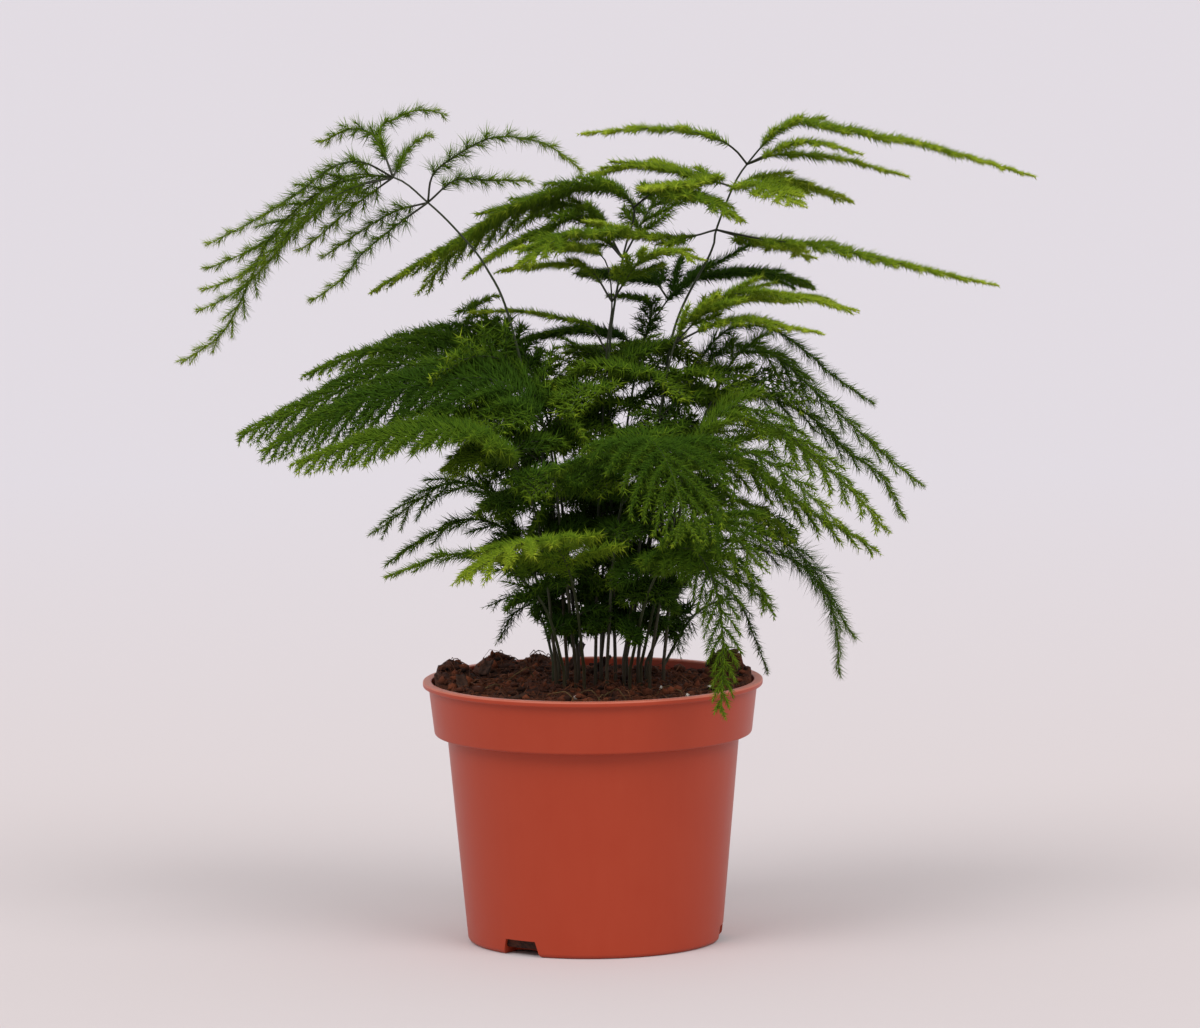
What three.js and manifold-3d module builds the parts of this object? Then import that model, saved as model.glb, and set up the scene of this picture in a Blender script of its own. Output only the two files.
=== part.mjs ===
// A potted lace fern: a plastic nursery pot filled with peat, and a clump of wiry stems
// that carry flat, lacy sprays of needle-like leaflets.
// Millimetres, +Z up. The origin is on the pot's axis, on the surface that it stands on.
import * as THREE from "three";
import { mergeVertices } from "three/addons/utils/BufferGeometryUtils.js";
import Module from "manifold-3d";

const wasm = await Module();
wasm.setup();

// Pot
const POT_HEIGHT = 92.5;
const RIM_RADIUS = 60;
const RIM_THICKNESS = 2;
const BAND_TOP_RADIUS = 58;
const BAND_FOOT_RADIUS = 56;
const BAND_FOOT_Z = 73.5;
const WALL_TOP_RADIUS = 51.6;
const WALL_FOOT_RADIUS = 45;
const WALL = 1.1;
const FLOOR_Z = 2.2;
const FOOT_RING_RADIUS = 38;
const FOOT_EDGE = 1;
const PAD_RADIUS = 14;
const UNDERSIDE_RECESS = 0.9;
const NOTCH_WIDTH = 16;
const NOTCH_TOP_WIDTH = 12.5;
const NOTCH_HEIGHT = 5.5;
const NOTCH_ANGLES = [-125.6, -5.6, 114.4];
const CUT_MARGIN = 1;
const POT_SEGMENTS = 40;

// Soil
const GAP = 0.3;
const SOIL_EDGE_Z = 88.8;
const SOIL_EDGE_RADIUS = 55.8;
const SOIL_RINGS = 7;
const RING_CROWDING = 1.4;
const SOIL_SEGMENTS = 32;
const SOIL_CLEARANCE = 0.5;
const CRUMB_RELIEF = 1.1;
const CRUMB_PITCH = 0.58;
const CRUMB_SKEW = 0.3;
const SOIL_LUMPS = [
  { x: -51, y: 13, height: 10, spread: 9 },
  { x: -55, y: -4, height: 7.5, spread: 8 },
  { x: -34, y: 39, height: 8.5, spread: 8 },
  { x: -19, y: 47, height: 5.5, spread: 7 },
  { x: -42, y: -24, height: 3, spread: 10 },
  { x: 49, y: 21, height: 10.5, spread: 7 },
  { x: 55, y: 4, height: 6, spread: 6 },
  { x: -26, y: 2, height: 2, spread: 16 },
  { x: 4, y: -4, height: 1.5, spread: 20 },
];

// Stems, in holes that are open at the soil's surface
const HOLE_FLOOR_Z = 62;
const HOLE_SIDES = 6;
const HOLE_RISE = 10;
const STEM_FOOT_Z = HOLE_FLOOR_Z + GAP;
const STEM_SIDES = 5;
const STEM_ROOT_RADIUS = 0.8;
const STEM_TIP_RADIUS = 0.52;
const STRETCH = 20;

// Leafy axes, with a node at every step that bears a side shoot
const AXIS_RADIUS = 0.55;
const AXIS_STEP = 26;
const FEWEST_SHOOTS = 3;
const ARM_BARE = 0.16;
const JOINT_SHARE = 0.01;
const TAPER = 0.3;
const NODE_LENGTH = 1;

// Side shoots: where they are longest, the angle at which they leave and how they bend
const SHARE_AT_FOOT = 0.6;
const SHARE_RISE = 3;
const SHARE_FALL = 0.7;
const SHORTEST_SHOOT = 4;
const LONG_SHOOT = 20;
const SHOOT_RADIUS = 0.45;
const SHOOT_SPREAD = 0.95;
const SHOOT_TILT = 0.15;
const SHOOT_MIDDLE = 0.5;
const SHOOT_END = 0.4;
const SHOOT_FORWARD = 0.15;
const SHOOT_VARIATION = 0.15;
const FIRST_NODE = 0.75;
const NODES_PAST = 0.4;

// Twigs, which long side shoots bear, and the needles at every node
const TWIG_STEP = 16;
const TWIG_SHARE = 0.45;
const TWIG_SPREAD = 0.6;
const TWIG_TILT = 0.25;
const TWIG_VARIATION = 0.2;
const LONGEST_TWIG = 7;
const NEEDLE_STEP = 13;
const NEEDLE_LENGTH = 5.5;
const NEEDLE_VARIATION = 0.2;
const NEEDLE_OUT = 0.8;
const NEEDLE_FORWARD = 0.75;

// Clearance between fronds, and how far a shoot may be bent up or down to keep it
const CLEARANCE = 0.3;
const LIFTS = [0, 0.12, -0.12, 0.26, -0.26];

// Curves and joints
const ROUTE_TENSION = 0.5;
const WELD = 1e-4;

// What is added to a frond's seed for each use of it
const SEEDS_PER_FROND = 10;
const SEEDS_PER_AXIS = 3;
const TWIG_TILT_SEED = 3;
const SHOOT_TILT_SEED = 5;
const TWIG_SEED = 7;

const YOUNG_GREEN = new THREE.Color(0x8cb030);
const OLD_GREEN = new THREE.Color(0x24500f);

// Each frond is a stem and, on the larger ones, arms that leave it. A route is a list of
// points from root to tip, and an arm's route leaves the stem's point that at counts to.
// bare is the share of a stem that bears nothing, reach is the longest side shoot and droop
// is how far shoots sag for their length. roll turns a frond's flat blade about its stem, in
// degrees, so that its front edge rises, and age runs from young to old.
const FRONDS = [
  {
    name: "frond_high_left",
    age: 0.38,
    droop: 0.06,
    roll: 60,
    stem: {
      route: [[-9, 2, 98], [-13, -2, 150], [-27, -4, 217], [-36, -6, 239], [-46, -7, 252],
        [-56, -8, 262], [-68, -9, 271], [-85, -13, 270], [-100, -16, 262], [-112, -18, 249],
        [-119, -20, 234], [-128, -21, 218], [-142, -22, 208]],
      bare: 0.65,
      reach: 12,
    },
    arms: [
      { at: 6, route: [[-78, -20, 277], [-88, -24, 276], [-101, -30, 267], [-116, -34, 258],
        [-132, -36, 250]], reach: 0 },
      { at: 6, route: [[-84, -1, 271], [-100, 3, 260], [-111, 5, 249], [-123, 6, 243],
        [-135, 7, 238]], reach: 1 },
      { at: 6, route: [[-83, -24, 268], [-98, -29, 259], [-112, -32, 245], [-121, -33, 239],
        [-134, -34, 234]], reach: 0 },
      { at: 6, route: [[-85, 4, 266], [-101, 8, 253], [-116, 9, 237], [-126, 9, 229],
        [-138, 9, 223]], reach: 1 },
      { at: 6, route: [[-74, 0, 284], [-83, 7, 287], [-94, 14, 282]], reach: 2 },
      { at: 6, route: [[-73, 3, 286], [-66, 12, 291], [-58, 16, 293], [-50, 20, 291]], reach: 0 },
      { at: 6, route: [[-65, 12, 277], [-60, 18, 282], [-55, 22, 284]], reach: 0 },
      { at: 6, route: [[-76, -2, 265], [-85, 4, 258], [-94, 8, 250], [-102, 10, 244]], reach: 2 },
      { at: 5, route: [[-68, 6, 258], [-78, 12, 252], [-87, 15, 246], [-94, 18, 241]], reach: 1 },
      { at: 5, route: [[-68, 0, 253], [-80, 4, 243], [-86, 8, 235], [-98, 10, 226]], reach: 0 },
      { at: 5, route: [[-54, -16, 272], [-46, -22, 279], [-32, -30, 286], [-15, -36, 284],
        [-2, -40, 275]], reach: 1 },
      { at: 5, route: [[-46, -10, 270], [-34, -14, 270], [-20, -18, 270]], reach: 0 },
    ],
  },
  {
    name: "frond_high_middle",
    age: 0.45,
    droop: 0.12,
    roll: 12,
    stem: {
      route: [[8, 3, 98], [7, 6, 160], [7, 10, 208], [12, 14, 240], [16, 14, 258], [4, 8, 266],
        [-16, 8, 263], [-36, 8, 253], [-56, 4, 242], [-75, 0, 231]],
      bare: 0.61,
      reach: 24,
    },
    arms: [
      { at: 3, route: [[1, 26, 256], [-20, 32, 257], [-39, 38, 247], [-49, 40, 239],
        [-59, 42, 228]], reach: 24 },
      { at: 4, route: [[24, 4, 264], [38, -12, 264], [52, -26, 257]], reach: 18 },
      { at: 3, route: [[26, 34, 262], [34, 56, 258]], reach: 18 },
      { at: 3, route: [[4, -4, 249], [-8, -20, 251], [-22, -38, 243]], reach: 24 },
      { at: 3, route: [[0, 10, 255], [-14, 6, 252], [-28, 2, 246], [-42, -2, 237]], reach: 15 },
    ],
  },
  {
    name: "frond_high_right",
    age: 0.22,
    droop: 0.04,
    roll: 2,
    stem: {
      route: [[16, 3, 98], [23, 8, 160], [29, 10, 212], [43, 12, 242], [45, 12, 250],
        [51, 12, 265], [56, 12, 273], [66, 9, 284], [76, 6, 288], [98, 1, 284], [123, -6, 279],
        [154, -14, 270]],
      bare: 0.65,
      reach: 14,
    },
    arms: [
      { at: 6, route: [[68, 18, 276], [88, 24, 274], [113, 30, 267]], reach: 7 },
      { at: 6, route: [[72, 0, 281], [83, -6, 281], [94, -10, 278]], reach: 6 },
      { at: 6, route: [[51, 8, 279], [42, 2, 284], [23, -5, 287], [-2, -13, 286]], reach: 9 },
      { at: 5, route: [[61, 20, 268], [77, 26, 264], [92, 30, 259]], reach: 18 },
      { at: 5, route: [[59, -2, 267], [66, -18, 265], [72, -30, 262]], reach: 14 },
      { at: 5, route: [[40, 20, 268], [24, 28, 272], [3, 34, 269]], reach: 22 },
      { at: 5, route: [[43, 2, 268], [34, -10, 268], [20, -20, 267]], reach: 16 },
      { at: 4, route: [[62, 4, 247], [82, -4, 245], [106, -10, 240], [141, -16, 232]], reach: 13 },
      { at: 4, route: [[58, 26, 245], [70, 42, 241], [79, 54, 236]], reach: 12 },
      { at: 4, route: [[34, 6, 248], [18, 0, 250], [1, -8, 255]], reach: 16 },
    ],
  },
  {
    name: "frond_middle_tier",
    age: 0.3,
    droop: 0.08,
    roll: 6,
    stem: {
      route: [[1, 2, 98], [3, 2, 160], [6, 2, 208], [8, 0, 226], [5, -4, 242], [-7, -10, 246],
        [-23, -18, 247]],
      bare: 0.82,
      reach: 16,
    },
    arms: [
      { at: 2, route: [[0, 6, 217], [-12, 9, 220], [-24, 10, 222], [-41, 10, 222]], reach: 4 },
      { at: 3, route: [[0, 4, 237], [-14, 4, 239], [-31, 4, 237]], reach: 9 },
      { at: 3, route: [[18, -10, 241], [28, -16, 245], [37, -22, 243]], reach: 16 },
    ],
  },
  {
    name: "frond_left_upper",
    age: 0.7,
    droop: 0.24,
    roll: -34,
    stem: {
      route: [[-5, 9, 98], [-10, 12, 150], [-16, 16, 186], [-27, 20, 202], [-47, 22, 206],
        [-72, 22, 201], [-96, 20, 190], [-123, 16, 179]],
      bare: 0.46,
      reach: 28,
    },
    arms: [
      { at: 2, route: [[-29, 30, 206], [-45, 34, 212], [-65, 38, 210], [-78, 41, 206],
        [-90, 44, 202], [-101, 46, 197]], reach: 11 },
      { at: 2, route: [[-25, 20, 210], [-35, 28, 217], [-43, 33, 221], [-39, 38, 223],
        [-34, 42, 225]], reach: 5 },
    ],
  },
  {
    name: "frond_left_middle",
    age: 0.8,
    droop: 0.24,
    roll: -30,
    stem: {
      route: [[-6, -5, 98], [-11, -14, 150], [-16, -20, 184], [-30, -24, 200], [-53, -26, 201],
        [-82, -26, 193], [-99, -25, 185], [-113, -24, 177]],
      bare: 0.455,
      reach: 29,
    },
    arms: [
      { at: 2, route: [[-29, -31, 194], [-37, -36, 192], [-47, -40, 189]], reach: 9 },
    ],
  },
  {
    name: "frond_left_front",
    age: 0.55,
    droop: 0.18,
    roll: -13,
    stem: {
      route: [[-13, -5, 98], [-17, -12, 140], [-24, -32, 168], [-38, -50, 186], [-62, -58, 187],
        [-81, -58, 183], [-101, -56, 176]],
      bare: 0.49,
      reach: 24,
    },
    arms: [
      { at: 2, route: [[-32, -38, 179], [-40, -43, 178], [-49, -46, 173]], reach: 12 },
    ],
  },
  {
    name: "frond_right_tier",
    age: 0.25,
    droop: 0.06,
    roll: 1,
    stem: {
      route: [[11, -4, 98], [20, -6, 160], [30, -8, 212], [44, -10, 226], [56, -12, 230],
        [75, -14, 228], [91, -17, 224]],
      bare: 0.635,
      reach: 25,
    },
    arms: [
      { at: 2, route: [[44, -14, 219], [56, -20, 221], [68, -26, 219], [80, -30, 217]], reach: 9 },
      { at: 2, route: [[43, -2, 224], [54, 4, 226], [69, 8, 225]], reach: 15 },
    ],
  },
  {
    name: "frond_right_back_tier",
    age: 0.85,
    droop: 0.06,
    roll: 3,
    stem: {
      route: [[3, 9, 98], [10, 18, 160], [18, 26, 205], [28, 30, 224], [37, 34, 231],
        [55, 38, 233], [77, 42, 228]],
      bare: 0.7,
      reach: 34,
    },
    arms: [
      { at: 3, route: [[23, 36, 230], [13, 44, 232], [1, 52, 232]], reach: 22 },
      { at: 2, route: [[22, 22, 222], [16, 18, 226], [8, 14, 227]], reach: 13 },
      { at: 2, route: [[11, 32, 211], [-2, 34, 213], [-14, 34, 212], [-24, 32, 210]], reach: 14 },
    ],
  },
  {
    name: "frond_right_long_twig",
    age: 0.8,
    droop: 0.15,
    roll: -30,
    stem: {
      route: [[11, 10, 98], [21, 19, 150], [33, 29, 190], [47, 36, 211], [63, 40, 213],
        [77, 42, 204], [87, 42, 195], [101, 42, 185]],
      bare: 0.56,
      reach: 0,
    },
    arms: [
      { at: 2, route: [[47, 30, 206], [58, 28, 207], [68, 25, 203], [77, 22, 196]], reach: 5 },
    ],
  },
  {
    name: "frond_right_outer",
    age: 0.6,
    droop: 0.2,
    roll: -32,
    stem: {
      route: [[25, -1, 98], [31, 2, 150], [40, 5, 184], [54, 8, 208], [66, 10, 205],
        [78, 10, 194], [93, 10, 180], [105, 10, 169], [117, 10, 159]],
      bare: 0.48,
      reach: 11,
    },
    arms: [
      { at: 2, route: [[51, 14, 195], [66, 18, 189], [79, 21, 182], [91, 24, 170], [103, 25, 161],
        [111, 26, 146]], reach: 9 },
    ],
  },
  {
    name: "frond_right_front",
    age: 0.5,
    droop: 0.22,
    roll: -26,
    stem: {
      route: [[20, -11, 98], [27, -16, 140], [34, -21, 172], [49, -25, 191], [64, -30, 185],
        [77, -34, 175], [91, -37, 162], [102, -38, 149]],
      bare: 0.4,
      reach: 17,
    },
    arms: [
      { at: 1, route: [[40, -26, 156], [53, -22, 157], [63, -18, 151], [70, -16, 143]], reach: 9 },
      { at: 2, route: [[52, -16, 169], [64, -12, 162], [77, -10, 152], [91, -8, 144],
        [100, -6, 138]], reach: 12 },
      { at: 2, route: [[48, -34, 178], [62, -42, 173], [75, -48, 163], [85, -52, 153]], reach: 11 },
    ],
  },
  {
    name: "frond_right_drooping",
    age: 0.7,
    droop: 0.22,
    roll: -40,
    stem: {
      route: [[19, 9, 97], [32, 18, 123], [45, 26, 135], [59, 31, 140], [72, 34, 134],
        [82, 34, 122], [87, 34, 106], [88, 34, 89]],
      bare: 0.42,
      reach: 10,
    },
    arms: [
      { at: 1, route: [[40, 14, 130], [53, 8, 125], [63, 4, 117]], reach: 3 },
      { at: 2, route: [[60, 40, 133], [75, 44, 127], [86, 46, 113], [94, 46, 100]], reach: 4 },
    ],
  },
  {
    name: "frond_front",
    age: 0.75,
    droop: 0.36,
    roll: 0,
    stem: {
      route: [[5, -12, 98], [8, -17, 140], [14, -34, 172], [20, -58, 183], [27, -82, 176],
        [33, -100, 157]],
      bare: 0.38,
      reach: 50,
    },
    arms: [],
  },
  {
    name: "frond_front_right",
    age: 0.7,
    droop: 0.3,
    roll: -10,
    stem: {
      route: [[17, -5, 98], [25, -21, 132], [36, -43, 152], [47, -58, 152], [57, -68, 141]],
      bare: 0.37,
      reach: 34,
    },
    arms: [
      { at: 1, route: [[39, -34, 140], [49, -42, 139], [57, -46, 131], [62, -48, 122]], reach: 8 },
    ],
  },
  {
    name: "frond_front_low_left",
    age: 0.3,
    droop: 0.2,
    roll: 12,
    stem: {
      route: [[-3, -12, 97], [-6, -26, 126], [-12, -48, 145], [-24, -70, 149], [-42, -88, 141]],
      bare: 0.36,
      reach: 36,
    },
    arms: [],
  },
  {
    name: "frond_front_hanging",
    age: 0.6,
    droop: 0.22,
    roll: -40,
    stem: {
      route: [[13, -12, 97], [19, -26, 124], [27, -42, 141], [36, -56, 144], [43, -64, 131],
        [45, -68, 111], [44, -68, 90]],
      bare: 0.36,
      reach: 14,
    },
    arms: [],
  },
  {
    name: "frond_low_left",
    age: 0.7,
    droop: 0.2,
    roll: 26,
    stem: {
      route: [[-12, 8, 97], [-21, 14, 130], [-34, 20, 155], [-49, 24, 160], [-61, 26, 154],
        [-69, 27, 148], [-77, 28, 142]],
      bare: 0.38,
      reach: 22,
    },
    arms: [
      { at: 1, route: [[-28, 10, 143], [-42, 6, 149], [-54, 4, 145], [-65, 2, 139],
        [-72, 0, 134]], reach: 10 },
    ],
  },
  {
    name: "frond_low_left_front",
    age: 0.55,
    droop: 0.14,
    roll: 20,
    stem: {
      route: [[-10, -12, 97], [-17, -24, 122], [-33, -35, 139], [-49, -41, 142], [-60, -44, 139],
        [-71, -45, 135]],
      bare: 0.36,
      reach: 12,
    },
    arms: [],
  },
  {
    name: "frond_low_wisp_left",
    age: 0.8,
    droop: 0.2,
    roll: 30,
    stem: {
      route: [[-14, 14, 97], [-17, 18, 109], [-21, 22, 117], [-28, 26, 119], [-37, 28, 115]],
      bare: 0.3,
      reach: 5,
    },
    arms: [
      { at: 2, route: [[-28, 22, 113], [-33, 22, 104]], reach: 3 },
    ],
  },
  {
    name: "frond_low_wisp_right",
    age: 0.9,
    droop: 0.2,
    roll: -30,
    stem: {
      route: [[25, 6, 96], [36, 20, 112], [51, 33, 116], [58, 44, 101], [63, 50, 87]],
      bare: 0.3,
      reach: 6,
    },
    arms: [
      { at: 1, route: [[32, 8, 111], [30, 2, 102]], reach: 4 },
    ],
  },
  {
    name: "frond_back",
    age: 0.55,
    droop: 0.2,
    roll: 0,
    stem: {
      route: [[3, 16, 98], [5, 34, 160], [7, 56, 196], [6, 82, 203], [2, 108, 188]],
      bare: 0.46,
      reach: 44,
    },
    arms: [],
  },
  {
    name: "frond_back_left",
    age: 0.8,
    droop: 0.2,
    roll: 15,
    stem: {
      route: [[-6, 16, 98], [-17, 36, 148], [-32, 58, 176], [-50, 78, 180], [-68, 94, 168]],
      bare: 0.42,
      reach: 38,
    },
    arms: [],
  },
  {
    name: "frond_back_right",
    age: 0.5,
    droop: 0.2,
    roll: -15,
    stem: {
      route: [[12, 16, 98], [23, 36, 146], [42, 58, 174], [64, 76, 174], [84, 90, 158]],
      bare: 0.42,
      reach: 38,
    },
    arms: [],
  },
];

const UP = new THREE.Vector3(0, 0, 1);

// A fixed draw between -1 and 1 for each pair of numbers, the same on every run.
function wobble(seed, index) {
  const wave = Math.sin(seed * 12.9898 + index * 78.233) * 43758.5453;
  return 2 * (wave - Math.floor(wave)) - 1;
}

function solidOf(geometry) {
  const bare = geometry.index ? geometry.toNonIndexed() : geometry.clone();
  bare.deleteAttribute("normal");
  bare.deleteAttribute("uv");
  const merged = mergeVertices(bare, WELD);
  const corners = merged.index.array;
  const triangles = [];
  for (let i = 0; i < corners.length; i += 3) {
    const [a, b, c] = corners.slice(i, i + 3);
    if (a !== b && b !== c && c !== a) triangles.push(a, b, c);
  }
  return new wasm.Manifold(
    new wasm.Mesh({
      numProp: 3,
      vertProperties: merged.attributes.position.array,
      triVerts: new Uint32Array(triangles),
    }),
  );
}

function meshOf(name, solid, material) {
  const { vertProperties, triVerts } = solid.getMesh();
  const geometry = new THREE.BufferGeometry();
  geometry.setAttribute("position", new THREE.BufferAttribute(vertProperties, 3));
  geometry.setIndex(new THREE.BufferAttribute(triVerts, 1));
  geometry.computeVertexNormals();
  const mesh = new THREE.Mesh(geometry, material);
  mesh.name = name;
  return mesh;
}

// Lathe profiles are drawn as radius and height, and turned to stand on Z.
function turned(profile, segments) {
  const points = profile.map(([radius, z]) => new THREE.Vector2(radius, z));
  return new THREE.LatheGeometry(points, segments).rotateX(Math.PI / 2);
}

// A drain notch runs through the foot ring and the foot of the wall, into the pot.
function drainNotch(angle) {
  const inner = FOOT_RING_RADIUS - CUT_MARGIN;
  const depth = WALL_FOOT_RADIUS + CUT_MARGIN - inner;
  const outline = new THREE.Shape([
    new THREE.Vector2(-NOTCH_WIDTH / 2, -CUT_MARGIN),
    new THREE.Vector2(NOTCH_WIDTH / 2, -CUT_MARGIN),
    new THREE.Vector2(NOTCH_TOP_WIDTH / 2, NOTCH_HEIGHT),
    new THREE.Vector2(-NOTCH_TOP_WIDTH / 2, NOTCH_HEIGHT),
  ]);
  const block = new THREE.ExtrudeGeometry(outline, { depth, bevelEnabled: false });
  block.rotateX(Math.PI / 2).translate(0, -inner, 0);
  return solidOf(block.rotateZ(THREE.MathUtils.degToRad(angle + 90)));
}

function makePot() {
  const underside = [
    [0, 0],
    [PAD_RADIUS, 0],
    [PAD_RADIUS + UNDERSIDE_RECESS, UNDERSIDE_RECESS],
    [FOOT_RING_RADIUS - UNDERSIDE_RECESS, UNDERSIDE_RECESS],
    [FOOT_RING_RADIUS, 0],
  ];
  const outside = [
    [WALL_FOOT_RADIUS - FOOT_EDGE, 0],
    [WALL_FOOT_RADIUS, FOOT_EDGE],
    [WALL_TOP_RADIUS, BAND_FOOT_Z],
    [BAND_FOOT_RADIUS, BAND_FOOT_Z],
    [BAND_TOP_RADIUS, POT_HEIGHT - RIM_THICKNESS],
    [RIM_RADIUS, POT_HEIGHT - RIM_THICKNESS],
    [RIM_RADIUS, POT_HEIGHT],
  ];
  const inside = [
    [BAND_TOP_RADIUS - WALL, POT_HEIGHT],
    [BAND_FOOT_RADIUS - WALL, BAND_FOOT_Z + WALL],
    [WALL_TOP_RADIUS - WALL, BAND_FOOT_Z + WALL],
    [WALL_FOOT_RADIUS - WALL, FLOOR_Z],
    [0, FLOOR_Z],
  ];
  const body = solidOf(turned([...underside, ...outside, ...inside], POT_SEGMENTS));
  return body.subtract(wasm.Manifold.union(NOTCH_ANGLES.map(drainNotch)));
}

function soilRelief(x, y) {
  const lumps = SOIL_LUMPS.map(
    (lump) => lump.height * Math.exp(-(((x - lump.x) ** 2 + (y - lump.y) ** 2) / lump.spread ** 2)),
  );
  const bend = Math.sin(y * CRUMB_PITCH);
  const crumbs = Math.sin(x * CRUMB_PITCH + bend) * Math.cos((y + x * CRUMB_SKEW) * CRUMB_PITCH);
  return lumps.reduce((sum, height) => sum + height, 0) + crumbs * CRUMB_RELIEF;
}

// The soil fills the pot, with its surface raised into lumps and crumbs.
function makeSoil(holes) {
  const shoulder = BAND_FOOT_Z + WALL + GAP;
  const profile = [
    [0, FLOOR_Z + GAP],
    [WALL_FOOT_RADIUS - WALL - SOIL_CLEARANCE, FLOOR_Z + GAP],
    [WALL_TOP_RADIUS - WALL - SOIL_CLEARANCE, shoulder],
    [BAND_FOOT_RADIUS - WALL - SOIL_CLEARANCE, shoulder],
  ];
  for (let ring = 0; ring <= SOIL_RINGS; ring += 1) {
    profile.push([SOIL_EDGE_RADIUS * (1 - (ring / SOIL_RINGS) ** RING_CROWDING), SOIL_EDGE_Z]);
  }
  const plug = turned(profile, SOIL_SEGMENTS);
  const position = plug.getAttribute("position");
  for (let i = 0; i < position.count; i += 1) {
    if (position.getZ(i) < SOIL_EDGE_Z - GAP) continue;
    position.setZ(i, SOIL_EDGE_Z + soilRelief(position.getX(i), position.getY(i)));
  }
  return solidOf(plug).subtract(wasm.Manifold.union(holes));
}

// The corners of a ring about a point of an axis, the first on the side that across gives.
function ringCorners(centre, along, across, radius, sides) {
  const over = new THREE.Vector3().crossVectors(along, across);
  return Array.from({ length: sides }, (_, k) => {
    const turn = (2 * Math.PI * k) / sides;
    const corner = centre.clone().addScaledVector(across, radius * Math.cos(turn));
    return corner.addScaledVector(over, radius * Math.sin(turn));
  });
}

// A tapered rod through the points, closed by a flat end at each.
function rod(points, rootRadius, tipRadius, sides) {
  const last = points.length - 1;
  const corners = points.flatMap((point, i) => {
    const behind = points[Math.max(i - 1, 0)];
    const along = points[Math.min(i + 1, last)].clone().sub(behind).normalize();
    const across = new THREE.Vector3(1, 0, 0).cross(along).normalize();
    const radius = THREE.MathUtils.lerp(rootRadius, tipRadius, i / last);
    return ringCorners(point, along, across, radius, sides);
  });
  const faces = [];
  for (let k = 1; k < sides - 1; k += 1) {
    const top = last * sides;
    faces.push(0, k + 1, k, top, top + k, top + k + 1);
  }
  for (let a = 0; a < last * sides; a += 1) {
    const b = a % sides === sides - 1 ? a + 1 - sides : a + 1;
    faces.push(a, b, b + sides, a, b + sides, a + sides);
  }
  const geometry = new THREE.BufferGeometry().setFromPoints(corners);
  geometry.setIndex(faces);
  return solidOf(geometry);
}

// How long a side shoot is for its place on its axis: short at the foot of the leafy
// stretch, longest soon after it, and shorter and shorter to the tip.
function shootShare(place) {
  return Math.min(1, SHARE_AT_FOOT + place * SHARE_RISE) * (1 - place) ** SHARE_FALL;
}

// A side shoot starts across its axis, bends forward along it and sags.
function shootCurve(root, along, across, length, spread, sag) {
  const direction = along.clone().multiplyScalar(Math.cos(spread));
  direction.addScaledVector(across, Math.sin(spread)).normalize();
  const middle = root.clone().addScaledVector(direction, length * SHOOT_MIDDLE);
  const tip = middle.clone().addScaledVector(direction, length * SHOOT_END);
  tip.addScaledVector(along, length * SHOOT_FORWARD).addScaledVector(UP, -length * sag);
  return new THREE.QuadraticBezierCurve3(root, middle, tip);
}

function acrossOf(curve) {
  const heading = curve.getPoint(1).sub(curve.getPoint(0)).setZ(0).normalize();
  return new THREE.Vector3(-heading.y, heading.x, 0);
}

// Shoots leave an axis by turns to the left and to the right.
function sideOf(across, index) {
  return across.clone().multiplyScalar(index % 2 ? 1 : -1);
}

function rolled(across, along, turn) {
  const over = along.clone().cross(across).normalize();
  return across.clone().multiplyScalar(Math.cos(turn)).addScaledVector(over, Math.sin(turn));
}

// A skin is a closed surface that is still growing: its corners and its faces so far.
// A ring is three corners around a point of the axis, turned so that the first is on the
// side that the guide points to.
function addRing(skin, centre, along, guide, radius) {
  const across = guide.clone().addScaledVector(along, -guide.dot(along)).normalize();
  const corners = ringCorners(centre, along, across, radius, 3);
  return corners.map((corner) => skin.corners.push(corner) - 1);
}

// The three sides between two rings, each as a pair of faces.
function sidesBetween(lower, upper) {
  return [0, 1, 2].map((k) => {
    const next = (k + 1) % 3;
    return [
      [lower[k], lower[next], upper[next]],
      [lower[k], upper[next], upper[k]],
    ];
  });
}

function centreOf(skin, face) {
  const sum = new THREE.Vector3();
  face.forEach((corner) => sum.add(skin.corners[corner]));
  return sum.divideScalar(3);
}

function normalOf(skin, face) {
  const [a, b, c] = face.map((corner) => skin.corners[corner]);
  return b.clone().sub(a).cross(c.clone().sub(a)).normalize();
}

function raisePoint(skin, face, tip) {
  const apex = skin.corners.push(tip) - 1;
  face.forEach((corner, k) => skin.faces.push([corner, face[(k + 1) % 3], apex]));
}

function needleTip(skin, face, along, seed, index) {
  const direction = normalOf(skin, face).multiplyScalar(NEEDLE_OUT);
  direction.addScaledVector(along, NEEDLE_FORWARD).normalize();
  const length = NEEDLE_LENGTH * (1 + NEEDLE_VARIATION * wobble(seed, index));
  return centreOf(skin, face).addScaledVector(direction, length);
}

// Lengthens the skin from its last ring to a node at this place on the curve, and gives
// back the node's three sides, as pairs of faces that are still to be closed.
function addNode(skin, lower, curve, place, radius) {
  const half = NODE_LENGTH / 2 / curve.getLength();
  const along = curve.getTangentAt(place);
  const guide = skin.corners[lower[0]].clone().sub(centreOf(skin, lower));
  const foot = addRing(skin, curve.getPointAt(place - half), along, guide, radius);
  const top = addRing(skin, curve.getPointAt(place + half), along, guide, radius);
  skin.faces.push(...sidesBetween(lower, foot).flat());
  return { along, sides: sidesBetween(foot, top), top };
}

// Closes a node: one side bears a shoot and the others bear needles, on their upper faces.
function closeNode(skin, sides, shootSide, growShoot, growNeedle) {
  sides.forEach(([lowFace, highFace], k) => {
    skin.faces.push(lowFace);
    if (k === shootSide) growShoot(highFace);
    else growNeedle(highFace, k);
  });
}

// The side of a node that looks most toward a direction.
function sideToward(skin, sides, direction) {
  const looks = sides.map(([face]) => normalOf(skin, face).dot(direction));
  return looks.indexOf(Math.max(...looks));
}

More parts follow.
